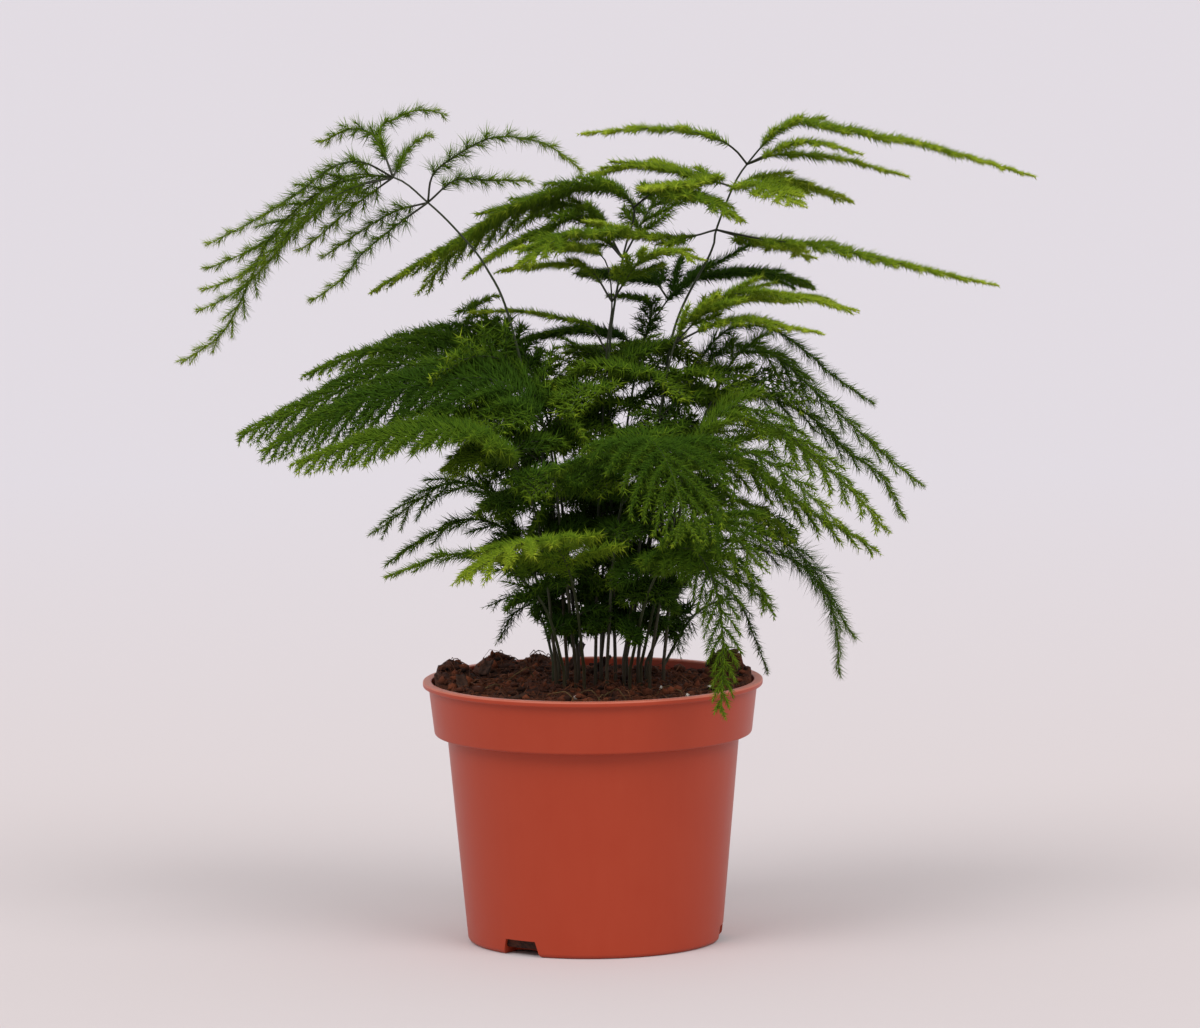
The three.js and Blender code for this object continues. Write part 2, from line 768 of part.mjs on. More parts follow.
function startSkin(curve, radius, place) {
  const skin = { corners: [], faces: [] };
  const base = addRing(skin, curve.getPointAt(place), curve.getTangentAt(place), UP, radius);
  skin.faces.push([base[0], base[2], base[1]]);
  return { skin, base };
}

function closeSkin(skin) {
  const geometry = new THREE.BufferGeometry().setFromPoints(skin.corners);
  geometry.setIndex(skin.faces.flat());
  return solidOf(geometry);
}

// Raises a shoot from a face of the skin, with needles at its nodes, and twigs too where
// it is long.
function raiseShoot(skin, base, curve, droop, seed) {
  const length = curve.getLength();
  const isLong = length > LONG_SHOOT;
  const count = Math.max(1, Math.round(length / (isLong ? TWIG_STEP : NEEDLE_STEP)));
  const across = acrossOf(curve);
  let lower = base;
  for (let i = 0; i < count; i += 1) {
    const place = (i + FIRST_NODE) / (count + NODES_PAST);
    const node = addNode(skin, lower, curve, place, SHOOT_RADIUS * (1 - TAPER * place));
    const side = sideOf(across, i);
    const twigSide = isLong ? sideToward(skin, node.sides, side) : -1;
    const growTwig = (face) => {
      side.z += TWIG_TILT * wobble(seed + TWIG_TILT_SEED, i);
      const share = TWIG_SHARE * shootShare(place) * (1 + TWIG_VARIATION * wobble(seed, i));
      const reach = Math.min(length * share + SHORTEST_SHOOT, LONGEST_TWIG);
      const twig = shootCurve(centreOf(skin, face), node.along, side, reach, TWIG_SPREAD, droop);
      raiseShoot(skin, face, twig, droop, seed + i + TWIG_SEED);
    };
    const growNeedle = (face, k) => {
      raisePoint(skin, face, needleTip(skin, face, node.along, seed + k, i));
    };
    closeNode(skin, node.sides, twigSide, growTwig, growNeedle);
    lower = node.top;
  }
  raisePoint(skin, lower, curve.getPoint(1));
}

function loneShoot(curve, droop, seed) {
  const { skin, base } = startSkin(curve, SHOOT_RADIUS, 0);
  raiseShoot(skin, base, curve, droop, seed);
  return closeSkin(skin);
}

function standsClear(solid, other) {
  const a = solid.boundingBox();
  const b = other.boundingBox();
  const apart = [0, 1, 2].some(
    (k) => a.min[k] > b.max[k] + CLEARANCE || b.min[k] > a.max[k] + CLEARANCE,
  );
  return apart || solid.minGap(other, CLEARANCE) >= CLEARANCE;
}

// A shoot is bent up or down until it stands clear of the other fronds, or left out.
function clearCurve(root, along, side, length, droop, seed, others) {
  const curves = LIFTS.map((lift) => {
    const lifted = side.clone().setZ(side.z + lift);
    return shootCurve(root, along, lifted, length, SHOOT_SPREAD, droop);
  });
  return curves.find((curve) => {
    const shoot = loneShoot(curve, droop, seed);
    return others.every((other) => standsClear(shoot, other));
  });
}

// A needle that would touch another frond is left out.
function raiseClear(skin, face, tip, others) {
  const needle = { corners: face.map((corner) => skin.corners[corner]), faces: [[0, 2, 1]] };
  raisePoint(needle, [0, 1, 2], tip);
  const solid = closeSkin(needle);
  if (others.every((other) => standsClear(solid, other))) raisePoint(skin, face, tip);
  else skin.faces.push(face);
}

function curveOf(route) {
  const points = route.map(([x, y, z]) => new THREE.Vector3(x, y, z));
  return new THREE.CatmullRomCurve3(points, false, "catmullrom", ROUTE_TENSION);
}

// The axes of a frond that bear leaves: its stem, from where its leaves start, and its
// arms, each from the stem's own point.
function leafyAxes({ stem, arms }) {
  const main = { ...stem, curve: curveOf(stem.route), start: stem.bare - JOINT_SHARE };
  const others = arms.map(({ at, route, reach }) => {
    const curve = curveOf([stem.route[at], ...route]);
    return { curve, reach, bare: ARM_BARE, start: 0 };
  });
  return [main, ...others];
}

function stemFoot({ stem }) {
  const [x, y, z] = stem.route[0];
  return [new THREE.Vector3(x, y, STEM_FOOT_Z), new THREE.Vector3(x, y, z)];
}

// The bare stem passes through every point of its route, as far as its leaves.
function makeBareStem(frond) {
  const { route, bare } = frond.stem;
  const curve = curveOf(route);
  const spans = route.length - 1;
  const end = curve.getUtoTmapping(bare) * spans;
  const points = stemFoot(frond);
  for (let i = 0; i < end; i += 1) {
    const share = Math.min(1, end - i);
    const count = Math.max(1, Math.round((curve.getLength() / spans / STRETCH) * share));
    for (let k = 1; k <= count; k += 1) {
      points.push(curve.getPoint((i + (share * k) / count) / spans));
    }
  }
  return rod(points, STEM_ROOT_RADIUS, STEM_TIP_RADIUS, STEM_SIDES);
}

function makeHole(frond) {
  const [foot, top] = stemFoot(frond);
  foot.z -= GAP;
  top.z += HOLE_RISE;
  return rod([foot, top], STEM_ROOT_RADIUS + GAP, STEM_ROOT_RADIUS + GAP, HOLE_SIDES);
}

// Short shoots and needles are raised from the skin of a leafy axis, and long shoots are
// bodies of their own that are joined to it.
function makeLeafyAxis({ curve, start, bare, reach }, { droop, roll }, seed, others) {
  const { skin, base } = startSkin(curve, AXIS_RADIUS, start);
  const leafyLength = curve.getLength() * (1 - bare);
  const count = Math.max(FEWEST_SHOOTS, Math.round(leafyLength / AXIS_STEP));
  const across = acrossOf(curve);
  const turn = THREE.MathUtils.degToRad(across.y < 0 ? roll : -roll);
  const longShoots = [];
  let lower = base;
  for (let i = 0; i < count; i += 1) {
    const place = (i + 0.5) / count;
    const curvePlace = bare + (1 - bare) * place;
    const node = addNode(skin, lower, curve, curvePlace, AXIS_RADIUS * (1 - TAPER * place));
    const side = rolled(sideOf(across, i), node.along, turn);
    const growShoot = (face) => {
      const share = shootShare(place) * (1 + SHOOT_VARIATION * wobble(seed, i));
      const length = reach * share + SHORTEST_SHOOT;
      const isLong = length > LONG_SHOOT;
      const root = isLong ? curve.getPointAt(curvePlace) : centreOf(skin, face);
      side.z += SHOOT_TILT * wobble(seed + SHOOT_TILT_SEED, i);
      const shoot = clearCurve(root, node.along, side, length, droop, seed + i, others);
      if (shoot && !isLong) raiseShoot(skin, face, shoot, droop, seed + i);
      else skin.faces.push(face);
      if (shoot && isLong) longShoots.push(loneShoot(shoot, droop, seed + i));
    };
    const growNeedle = (face, k) => {
      raiseClear(skin, face, needleTip(skin, face, node.along, seed + k, i), others);
    };
    closeNode(skin, node.sides, sideToward(skin, node.sides, side), growShoot, growNeedle);
    lower = node.top;
  }
  raisePoint(skin, lower, curve.getPoint(1));
  return [closeSkin(skin), ...longShoots];
}

function makeFrond(frond, bareStem, seed, others) {
  const leafy = leafyAxes(frond).flatMap((axis, index) =>
    makeLeafyAxis(axis, frond, seed * SEEDS_PER_FROND + index * SEEDS_PER_AXIS, others),
  );
  return wasm.Manifold.union([bareStem, ...leafy]);
}

const potMaterial = new THREE.MeshStandardMaterial({
  color: 0xb2452c,
  roughness: 0.45,
  metalness: 0,
  flatShading: true,
});
const soilMaterial = new THREE.MeshStandardMaterial({
  color: 0x3a1c12,
  roughness: 1,
  metalness: 0,
  flatShading: true,
});

function frondMaterial(frond) {
  const color = YOUNG_GREEN.clone().lerp(OLD_GREEN, frond.age);
  return new THREE.MeshStandardMaterial({ color, roughness: 0.6, metalness: 0, flatShading: true });
}

const plant = new THREE.Group();
plant.name = "potted_lace_fern";
plant.add(meshOf("pot", makePot(), potMaterial));
plant.add(meshOf("potting_soil", makeSoil(FRONDS.map(makeHole)), soilMaterial));

// Every stem stands first, so that each frond's shoots keep clear of all the others.
const grown = FRONDS.map(makeBareStem);
FRONDS.forEach((frond, index) => {
  const others = grown.filter((_, k) => k !== index);
  grown[index] = makeFrond(frond, grown[index], index + 1, others);
  plant.add(meshOf(frond.name, grown[index], frondMaterial(frond)));
});

export default plant;
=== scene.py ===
import math

import bmesh
import bpy
import numpy as np
from mathutils import Matrix, Vector


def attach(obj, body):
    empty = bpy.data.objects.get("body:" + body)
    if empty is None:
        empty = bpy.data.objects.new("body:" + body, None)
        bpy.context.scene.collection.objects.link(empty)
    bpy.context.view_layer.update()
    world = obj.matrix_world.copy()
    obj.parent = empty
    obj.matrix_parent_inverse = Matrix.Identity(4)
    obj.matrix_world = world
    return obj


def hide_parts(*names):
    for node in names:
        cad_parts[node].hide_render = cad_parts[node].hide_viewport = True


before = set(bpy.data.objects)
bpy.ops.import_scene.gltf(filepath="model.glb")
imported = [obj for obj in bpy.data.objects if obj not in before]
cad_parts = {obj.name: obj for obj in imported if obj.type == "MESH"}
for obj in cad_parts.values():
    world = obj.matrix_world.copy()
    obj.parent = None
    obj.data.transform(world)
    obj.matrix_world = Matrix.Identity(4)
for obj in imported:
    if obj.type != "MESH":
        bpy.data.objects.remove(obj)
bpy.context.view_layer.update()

# Camera. A long lens looks a little down at the plant from far in front of it, so that
# the near and far sprays keep almost one size, and the picture is turned a touch.
# The focal length is in the photograph's pixels, and the photograph is 1200 wide.
PHOTO_WIDTH = 1200
FOCAL_PIXELS = 7432.8
SENSOR = 36
CAMERA_PLACE = Vector((0.0031, -2.6, 0.44866))
CAMERA_DOWN = math.radians(6.531)
CAMERA_TURN = math.radians(-0.55)

lens = bpy.data.cameras.new("camera")
lens.sensor_width = SENSOR
lens.lens = FOCAL_PIXELS * SENSOR / PHOTO_WIDTH
camera = bpy.data.objects.new("camera", lens)
bpy.context.scene.collection.objects.link(camera)
camera.matrix_world = (
    Matrix.Translation(CAMERA_PLACE)
    @ Matrix.Rotation(math.pi / 2 - CAMERA_DOWN, 4, "X")
    @ Matrix.Rotation(CAMERA_TURN, 4, "Z")
)
bpy.context.scene.camera = camera

# Studio. A pale seamless floor runs back out of sight under a pale sky, and two broad
# soft lights stand to the left and right in front. None of it belongs to the plant.
# The floor's sizes are in metres, and the lamps' bearings are degrees to the right.
FLOOR_REACH = 40
FLOOR_DROP = 0.0001
FLOOR_FADE = (0.3, 1.5)
FLOOR_NEAR = (0.640, 0.580, 0.585)
FLOOR_FAR = (0.645, 0.610, 0.649)
SKY_COLOUR = (1.0, 0.99, 1.0)
SKY_STRENGTH = 0.66
LAMPS = {
    "lamp_left": {"bearing": -42, "height": 48, "strength": 1.2, "spread": 34},
    "lamp_right": {"bearing": 40, "height": 46, "strength": 1.05, "spread": 34},
}
BLACK = (0, 0, 0)
WHITE = (1, 1, 1)
MIX_FIRST = 6
MIX_SECOND = 7
MIX_RESULT = 2


class Wire:
    """A node's output in a finish, so that its maths reads as plain sums."""

    def __init__(self, finish, socket):
        self.finish = finish
        self.socket = socket

    def maths(self, operation, first, second):
        inputs = {0: first, 1: second}
        return self.finish.node("ShaderNodeMath", {"operation": operation}, inputs)

    def __add__(self, other):
        return self.maths("ADD", self, other)

    def __sub__(self, other):
        return self.maths("SUBTRACT", self, other)

    def __rsub__(self, other):
        return self.maths("SUBTRACT", other, self)

    def __mul__(self, other):
        return self.maths("MULTIPLY", self, other)

    def __gt__(self, other):
        return self.maths("GREATER_THAN", self, other)

    def __lt__(self, other):
        return self.maths("LESS_THAN", self, other)

    __radd__ = __add__
    __rmul__ = __mul__


class Finish:
    """A material: one shader, its constants, and the nodes that vary it."""

    def __init__(self, name, **constants):
        self.material = bpy.data.materials.new(name)
        self.material.use_nodes = True
        self.tree = self.material.node_tree
        self.shader = self.tree.nodes["Principled BSDF"]
        self.set(**constants)

    def set(self, **inputs):
        """Feeds the shader; an underscore stands for a space in a socket's name."""
        for name, value in inputs.items():
            self.feed(self.shader.inputs[name.replace("_", " ")], value)

    def feed(self, socket, value):
        if isinstance(value, Wire):
            self.tree.links.new(value.socket, socket)
        elif socket.type == "RGBA":
            socket.default_value = (*value, 1)
        else:
            socket.default_value = value

    def node(self, kind, settings=None, inputs=None, output=0):
        """Any node, from its type, its settings and its sockets' values or wires."""
        made = self.tree.nodes.new(kind)
        for name, value in (settings or {}).items():
            if name == "stops":
                self.set_stops(made.color_ramp, value)
            else:
                setattr(made, name, value)
        for name, value in (inputs or {}).items():
            self.feed(made.inputs[name], value)
        return Wire(self, made.outputs[output])

    def set_stops(self, ramp, stops):
        first, *middle, last = stops
        for element, (place, colour) in zip(ramp.elements, (first, last)):
            element.position = place
            element.color = (*colour, 1)
        for place, colour in middle:
            ramp.elements.new(place).color = (*colour, 1)

    def place(self):
        return self.node("ShaderNodeTexCoord", output="Object")

    def split(self, vector):
        """A vector's three numbers, each on a wire of its own."""
        first = self.node("ShaderNodeSeparateXYZ", inputs={"Vector": vector})
        return [Wire(self, output) for output in first.socket.node.outputs]

    def noise(self, scale, detail=3, roughness=0.5, vector=None):
        """A cloudy value from 0 to 1, with about scale clouds to a metre."""
        inputs = {"Scale": scale, "Detail": detail, "Roughness": roughness}
        inputs["Vector"] = vector or self.place()
        return self.node("ShaderNodeTexNoise", inputs=inputs, output="Fac")

    def ramp(self, value, *stops):
        return self.node("ShaderNodeValToRGB", {"stops": stops}, {"Fac": value}, "Color")

    def mask(self, value, low, high):
        """0 up to low and 1 from high on."""
        return self.ramp(value, (low, BLACK), (high, WHITE))

    def blend(self, share, first, second):
        inputs = {"Factor": share, MIX_FIRST: first, MIX_SECOND: second}
        return self.node("ShaderNodeMix", {"data_type": "RGBA"}, inputs, MIX_RESULT)

    def bump(self, height, strength, depth):
        inputs = {"Height": height, "Strength": strength, "Distance": depth}
        self.set(Normal=self.node("ShaderNodeBump", inputs=inputs, output="Normal"))


def share_between(value, low, high):
    """0 where a value or a wire is low and 1 where it is high."""
    return (value - low) * (1 / (high - low))


def aim_lamp(name, bearing, height, strength, spread):
    """A broad light from far off; its bearing is 0 in front, and its height is an angle."""
    data = bpy.data.lights.new(name, "SUN")
    data.energy = strength
    data.angle = math.radians(spread)
    lamp = bpy.data.objects.new(name, data)
    bpy.context.scene.collection.objects.link(lamp)
    lamp.rotation_euler = (math.radians(90 - height), 0, math.radians(bearing))


for lamp_name, lamp in LAMPS.items():
    aim_lamp(lamp_name, **lamp)

sky = bpy.data.worlds.new("sky")
sky.use_nodes = True
sky_light = sky.node_tree.nodes["Background"].inputs
sky_light["Color"].default_value = (*SKY_COLOUR, 1)
sky_light["Strength"].default_value = SKY_STRENGTH
bpy.context.scene.world = sky
bpy.context.scene.view_settings.view_transform = "Standard"

floor_finish = Finish("studio_floor", Roughness=0.9, Specular_IOR_Level=0.1)
_, floor_depth, _ = floor_finish.split(floor_finish.place())
floor_share = share_between(floor_depth, *FLOOR_FADE)
floor_finish.set(Base_Color=floor_finish.ramp(floor_share, (0, FLOOR_NEAR), (1, FLOOR_FAR)))
floor_mesh = bpy.data.meshes.new("studio_floor")
floor_signs = ((-1, -1), (1, -1), (1, 1), (-1, 1))
floor_half = FLOOR_REACH / 2
floor_corners = [(floor_half * x, floor_half * y, -FLOOR_DROP) for x, y in floor_signs]
floor_mesh.from_pydata(floor_corners, [], [(0, 1, 2, 3)])
floor_mesh.materials.append(floor_finish.material)
studio_floor = bpy.data.objects.new("studio_floor", floor_mesh)
bpy.context.scene.collection.objects.link(studio_floor)

# Pot. One piece of injection-moulded terracotta-coloured plastic: a tapered wall, a
# wide band that ends in a thin lip, a foot ring with three drain notches and a floor.
# Each corner is a radius, a height and how far it is rounded, in millimetres.
MM = 0.001
POT_CORNERS = [
    (0, 0, 0),
    (14, 0, 0.2),
    (14.9, 0.9, 0.2),
    (37.1, 0.9, 0.2),
    (38, 0, 0.2),
    (44, 0, 0.3),
    (45, 1, 0.6),
    (51.6, 73.5, 0.7),
    (56, 73.5, 0.9),
    (58, 90.5, 0.6),
    (60, 90.5, 0.7),
    (60, 92.5, 0.6),
    (56.9, 92.5, 0.5),
    (54.9, 74.6, 0.6),
    (50.5, 74.6, 0.6),
    (43.9, 2.2, 1.5),
    (0, 2.2, 0),
]
POT_SEGMENTS = 180
CORNER_STEPS = 4
NOTCH_WIDTH = 16
NOTCH_TOP_WIDTH = 12.5
NOTCH_HEIGHT = 5.5
NOTCH_BELOW = 1
NOTCH_REACH = (37, 46)
NOTCH_ANGLES = (-125.6, -5.6, 114.4)
SHARP_EDGE = math.radians(38)
TERRACOTTA = (0.365, 0.037, 0.011)
TERRACOTTA_PALE = (0.40, 0.050, 0.018)
TERRACOTTA_SCUFF = (0.50, 0.14, 0.08)
# The next colour is a painted highlight: the pale tone of the lip's top edge.
TERRACOTTA_LIP_HIGHLIGHT = (0.62, 0.20, 0.13)
CLOUD_SHARE = 0.6
STREAK_SHARE = 0.4
SCUFF_ENDS = (0.66, 0.72)
WORN_ENDS = (0.56, 0.68)
SCUFF_STRENGTH = 0.35
# The painted highlight on the lip: the height that it starts from, its least share and its clouds.
LIP_HIGHLIGHT_FROM = 91.9 * MM
LIP_HIGHLIGHT_LEAST = 0.25
LIP_HIGHLIGHT_CLOUDS = 0.7
PLASTIC_ROUGHNESS = 0.3
STREAK_STRETCH = (1, 1, 0.12)


def curve_at(start, middle, end, t):
    """The point at t on the curve that leaves start toward middle and arrives at end."""
    return (1 - t) ** 2 * start + 2 * t * (1 - t) * middle + t**2 * end


def pot_outline():
    """The pot's section, with each corner cut to a short curve."""
    points = [np.array(corner[:2], float) for corner in POT_CORNERS]
    outline = [points[0]]
    for before, here, after, corner in zip(points, points[1:], points[2:], POT_CORNERS[1:]):
        start = here + (before - here) / np.linalg.norm(before - here) * corner[2]
        end = here + (after - here) / np.linalg.norm(after - here) * corner[2]
        outline += [curve_at(start, here, end, t) for t in np.linspace(0, 1, CORNER_STEPS + 1)]
    return outline + [points[-1]]


def pot_body():
    """The section turned round the pot's axis, on which it starts and ends."""
    made = bmesh.new()
    rings = []
    for radius, height in pot_outline():
        if radius == 0:
            rings.append([made.verts.new((0, 0, height * MM))] * POT_SEGMENTS)
            continue
        turns = [2 * math.pi * k / POT_SEGMENTS for k in range(POT_SEGMENTS)]
        ring = [(radius * math.cos(a) * MM, radius * math.sin(a) * MM, height * MM) for a in turns]
        rings.append([made.verts.new(corner) for corner in ring])
    for lower, upper in zip(rings, rings[1:]):
        for k in range(POT_SEGMENTS):
            n = (k + 1) % POT_SEGMENTS
            corners = [lower[k], lower[n], upper[n], upper[k]]
            made.faces.new(list(dict.fromkeys(corners)))
    bmesh.ops.recalc_face_normals(made, faces=made.faces)
    return made


def notch_cutter(angle):
    """A block that cuts one drain notch through the foot ring and the wall."""
    half, top = NOTCH_WIDTH / 2, NOTCH_TOP_WIDTH / 2
    low, high = -NOTCH_BELOW, NOTCH_HEIGHT
    section = [(-half, low), (half, low), (top, high), (-top, high)]
    made = bmesh.new()
    ends = [[made.verts.new((r * MM, y * MM, z * MM)) for y, z in section] for r in NOTCH_REACH]
    made.faces.new(ends[0])
    made.faces.new(reversed(ends[1]))
    for k in range(4):
        n = (k + 1) % 4
        made.faces.new((ends[0][k], ends[1][k], ends[1][n], ends[0][n]))
    bmesh.ops.recalc_face_normals(made, faces=made.faces)
    bmesh.ops.rotate(made, verts=made.verts, matrix=Matrix.Rotation(math.radians(angle), 3, "Z"))
    return made


def as_object(name, made):
    mesh = bpy.data.meshes.new(name)
    made.to_mesh(mesh)
    made.free()
    piece = bpy.data.objects.new(name, mesh)
    bpy.context.scene.collection.objects.link(piece)
    return piece


def cut_notches(pot):
    cutters = [as_object("notch", notch_cutter(angle)) for angle in NOTCH_ANGLES]
    for cutter in cutters:
        cut = pot.modifiers.new("notch", "BOOLEAN")
        cut.solver = "EXACT"
        cut.object = cutter
    shown = pot.evaluated_get(bpy.context.evaluated_depsgraph_get())
    whole = bpy.data.meshes.new_from_object(shown)
    pot.modifiers.clear()
    pot.data = whole
    for cutter in cutters:
        bpy.data.objects.remove(cutter)


def pot_finish():
    """Satin moulded plastic: faint clouds and streaks, fine grain, a few scuffs, a painted
    highlight along the lip.
    """
    plastic = Finish("terracotta_plastic", Specular_IOR_Level=0.3)
    around = plastic.place()
    stretch = {0: around, 1: STREAK_STRETCH}
    stretched = plastic.node("ShaderNodeVectorMath", {"operation": "MULTIPLY"}, stretch)
    clouds = plastic.noise(scale=55, roughness=0.6)
    streaks = plastic.noise(scale=260, detail=2, vector=stretched)
    grain = plastic.noise(scale=2600, detail=2)
    scuffs = plastic.mask(plastic.noise(scale=900, detail=6, roughness=0.72), *SCUFF_ENDS)
    worn = plastic.mask(plastic.noise(scale=38, detail=2), *WORN_ENDS)
    paleness = clouds * CLOUD_SHARE + streaks * STREAK_SHARE
    tone = plastic.blend(paleness, TERRACOTTA, TERRACOTTA_PALE)
    scuffed = plastic.blend(scuffs * worn * SCUFF_STRENGTH, tone, TERRACOTTA_SCUFF)
    _, _, height = plastic.split(around)
    # Painted highlight: the lip's top edge is made paler, in clouds, to stand for the light along
    # it.
    lip_highlight = (height > LIP_HIGHLIGHT_FROM) * (clouds * LIP_HIGHLIGHT_CLOUDS + LIP_HIGHLIGHT_LEAST)
    plastic.set(
        Base_Color=plastic.blend(lip_highlight, scuffed, TERRACOTTA_LIP_HIGHLIGHT),
        Roughness=clouds * 0.12 + streaks * 0.06 + PLASTIC_ROUGHNESS + scuffs * 0.1,
    )
    plastic.bump(grain * 0.5 + streaks * 0.5, strength=0.12, depth=0.2 * MM)
    return plastic.material


pot = as_object("plant_pot", pot_body())
cut_notches(pot)
pot.data.set_sharp_from_angle(angle=SHARP_EDGE)
pot.data.materials.append(pot_finish())
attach(pot, "root")
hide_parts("pot")

# Potting soil. Coarse, fibrous, moist peat fills the pot to just under its rim. It is
# loose, so its surface stands in crumbs and lumps, highest by the rim at left and right.
# The wall is radii and heights, a lump a place, height and spread, relief a width and depth.
SOIL_WALL = [(43.4, 2.5), (50.0, 75.0), (54.3, 75.0)]
SOIL_EDGE = 56.0
SOIL_LEVEL = 88.8
SOIL_RINGS = 70
SOIL_SEGMENTS = 180
LUMPS = [
    (-51, 13, 10, 9),
    (-55, -4, 7.5, 8),
    (-34, 39, 8.5, 8),
    (-19, 47, 5.5, 7),
    (-42, -24, 3, 10),
    (49, 21, 10.5, 7),
    (55, 4, 6, 6),
    (-26, 2, 2, 16),
    (4, -4, 1.5, 20),
]
SOIL_RELIEF = ((9, 2.6), (4.5, 2.4), (2.2, 1.8), (1.1, 0.9))
DRAW_STEPS = (12.9898, 78.233, 37.719)
DRAW_SPREAD = 43758.5453
PEAT_DARK = (0.010, 0.0035, 0.0018)
PEAT_BROWN = (0.075, 0.020, 0.008)
PEAT_RUST = (0.205, 0.050, 0.017)
BAKE_MAP = "OFBake"


def drawn(first, second, seed=0):
    """A fixed draw from 0 to 1 for each set of numbers."""
    first_step, second_step, seed_step = DRAW_STEPS
    wave = np.sin(first * first_step + second * second_step + seed * seed_step) * DRAW_SPREAD
    return wave - np.floor(wave)


def speckle(x, y, seed):
    """Smooth random relief from 0 to 1, one hump to a unit."""
    column, row = np.floor(x), np.floor(y)
    u, v = x - column, y - row
    u, v = u * u * (3 - 2 * u), v * v * (3 - 2 * v)
    low = drawn(column, row, seed) * (1 - u) + drawn(column + 1, row, seed) * u
    high = drawn(column, row + 1, seed) * (1 - u) + drawn(column + 1, row + 1, seed) * u
    return low * (1 - v) + high * v


def soil_top(x, y):
    """The height of the soil's surface, in millimetres."""
    height = SOIL_LEVEL
    for lump_x, lump_y, lump_height, spread in LUMPS:
        away = (x - lump_x) ** 2 + (y - lump_y) ** 2
        height = height + lump_height * np.exp(-away / spread**2)
    for width, depth in SOIL_RELIEF:
        height = height + (speckle(x / width, y / width, width) - 0.5) * depth
    return height


def quads(a, b, c, d):
    """Two triangles for every four corners."""
    return np.vstack([np.stack([a, b, c], 1), np.stack([a, c, d], 1)])


def soil_body():
    """Rings of corners up the pot's wall and in to the middle, closed at both ends."""
    turns = 2 * np.pi * np.arange(SOIL_SEGMENTS) / SOIL_SEGMENTS
    circle = np.stack([np.cos(turns), np.sin(turns)], 1)
    rings = [np.column_stack([radius * circle, 0 * turns + height]) for radius, height in SOIL_WALL]
    for share in np.linspace(1, 0, SOIL_RINGS, endpoint=False):
        flat = SOIL_EDGE * share * circle
        rings.append(np.column_stack([flat, soil_top(*flat.T)]))
    k = np.arange(SOIL_SEGMENTS)
    n = (k + 1) % SOIL_SEGMENTS
    triangles = []
    for ring in range(len(rings) - 1):
        a, b = ring * SOIL_SEGMENTS + k, ring * SOIL_SEGMENTS + n
        triangles.append(quads(a, b, b + SOIL_SEGMENTS, a + SOIL_SEGMENTS))
    last = (len(rings) - 1) * SOIL_SEGMENTS
    foot, top = last + SOIL_SEGMENTS, last + SOIL_SEGMENTS + 1
    triangles.append(np.stack([n, k, 0 * k + foot], 1))
    triangles.append(np.stack([last + k, last + n, 0 * k + top], 1))
    ends = [(0, 0, SOIL_WALL[0][1]), (0, 0, soil_top(0, 0))]
    return np.vstack([*rings, ends]), np.vstack(triangles)


def facets(name, points, triangles, finishes, spots=None, kinds=None):
    """An object from corners in millimetres, triangles, map places and finish numbers."""
    mesh = bpy.data.meshes.new(name)
    mesh.vertices.add(len(points))
    mesh.vertices.foreach_set("co", (np.asarray(points) * MM).astype(np.float32).ravel())
    mesh.loops.add(len(triangles) * 3)
    mesh.loops.foreach_set("vertex_index", np.asarray(triangles).astype(np.int32).ravel())
    mesh.polygons.add(len(triangles))
    mesh.polygons.foreach_set("loop_start", np.arange(0, len(triangles) * 3, 3, dtype=np.int32))
    if kinds is not None:
        mesh.polygons.foreach_set("material_index", np.asarray(kinds, np.int32))
    if spots is not None:
        bake_map = mesh.uv_layers.new(name=BAKE_MAP)
        bake_map.data.foreach_set("uv", np.asarray(spots, np.float32).ravel())
    mesh.update(calc_edges=True)
    mesh.validate()
    for finish in finishes:
        mesh.materials.append(finish)
    piece = bpy.data.objects.new(name, mesh)
    bpy.context.scene.collection.objects.link(piece)
    return piece


def soil_finish():
    """Moist peat: nearly black in its pores, brown to rust on its crumbs, quite matt."""
    peat = Finish("peat", Specular_IOR_Level=0.35)
    grain = peat.noise(scale=520, detail=6, roughness=0.7)
    shade = grain * 0.7 + peat.noise(scale=120) * 0.3
    tone = peat.ramp(shade, (0.36, PEAT_DARK), (0.52, PEAT_BROWN), (0.70, PEAT_RUST))
    peat.set(Base_Color=tone, Roughness=0.98 - grain * 0.25)
    peat.bump(grain, strength=0.9, depth=1.2 * MM)
    return peat.material


soil = facets("potting_soil_body", *soil_body(), [soil_finish()])
soil.data.shade_smooth()
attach(soil, "root")
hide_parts("potting_soil")

# Peat crumbs. Angular lumps of peat lie on the soil where they fell, thickest on its
# mounds and toward the rim. Those that lie highest look out over the rim.
LITTER_EDGE = 54.2
LITTER_LEAST = 0.3
LITTER_ON_LUMPS = 0.08
LITTER_AT_RIM = 0.3
LITTER_SEED = 41
CRUMB_COUNT = 1300
CRUMB_SIZES = (0.5, 2.5)
CRUMB_SMALLNESS = 3.2
CRUMB_STRETCH = (0.55, 1.25)
CRUMB_FLATNESS = 0.75
CRUMB_KNOBS = (0.6, 1.3)
CRUMB_LIFT = 0.25
CRUMB_HEIGHT = 2.4
MAP_ENDS = (0.02, 0.98)
CRUMB_STOPS = ((0.1, PEAT_DARK), (0.45, PEAT_BROWN), (0.8, PEAT_RUST), (1.0, (0.21, 0.075, 0.03)))


def scatter(random, count):
    """Places on the soil, thicker on its lumps and toward the rim."""
    places = []
    while len(places) < count:
        turn, radius = random.random() * 2 * math.pi, LITTER_EDGE * random.random() ** 0.5
        x, y = radius * math.cos(turn), radius * math.sin(turn)
        raised = soil_top(x, y) - SOIL_LEVEL
        near_rim = LITTER_AT_RIM * radius / LITTER_EDGE
        if random.random() < LITTER_LEAST + LITTER_ON_LUMPS * raised + near_rim:
            places.append((x, y))
    return np.array(places)


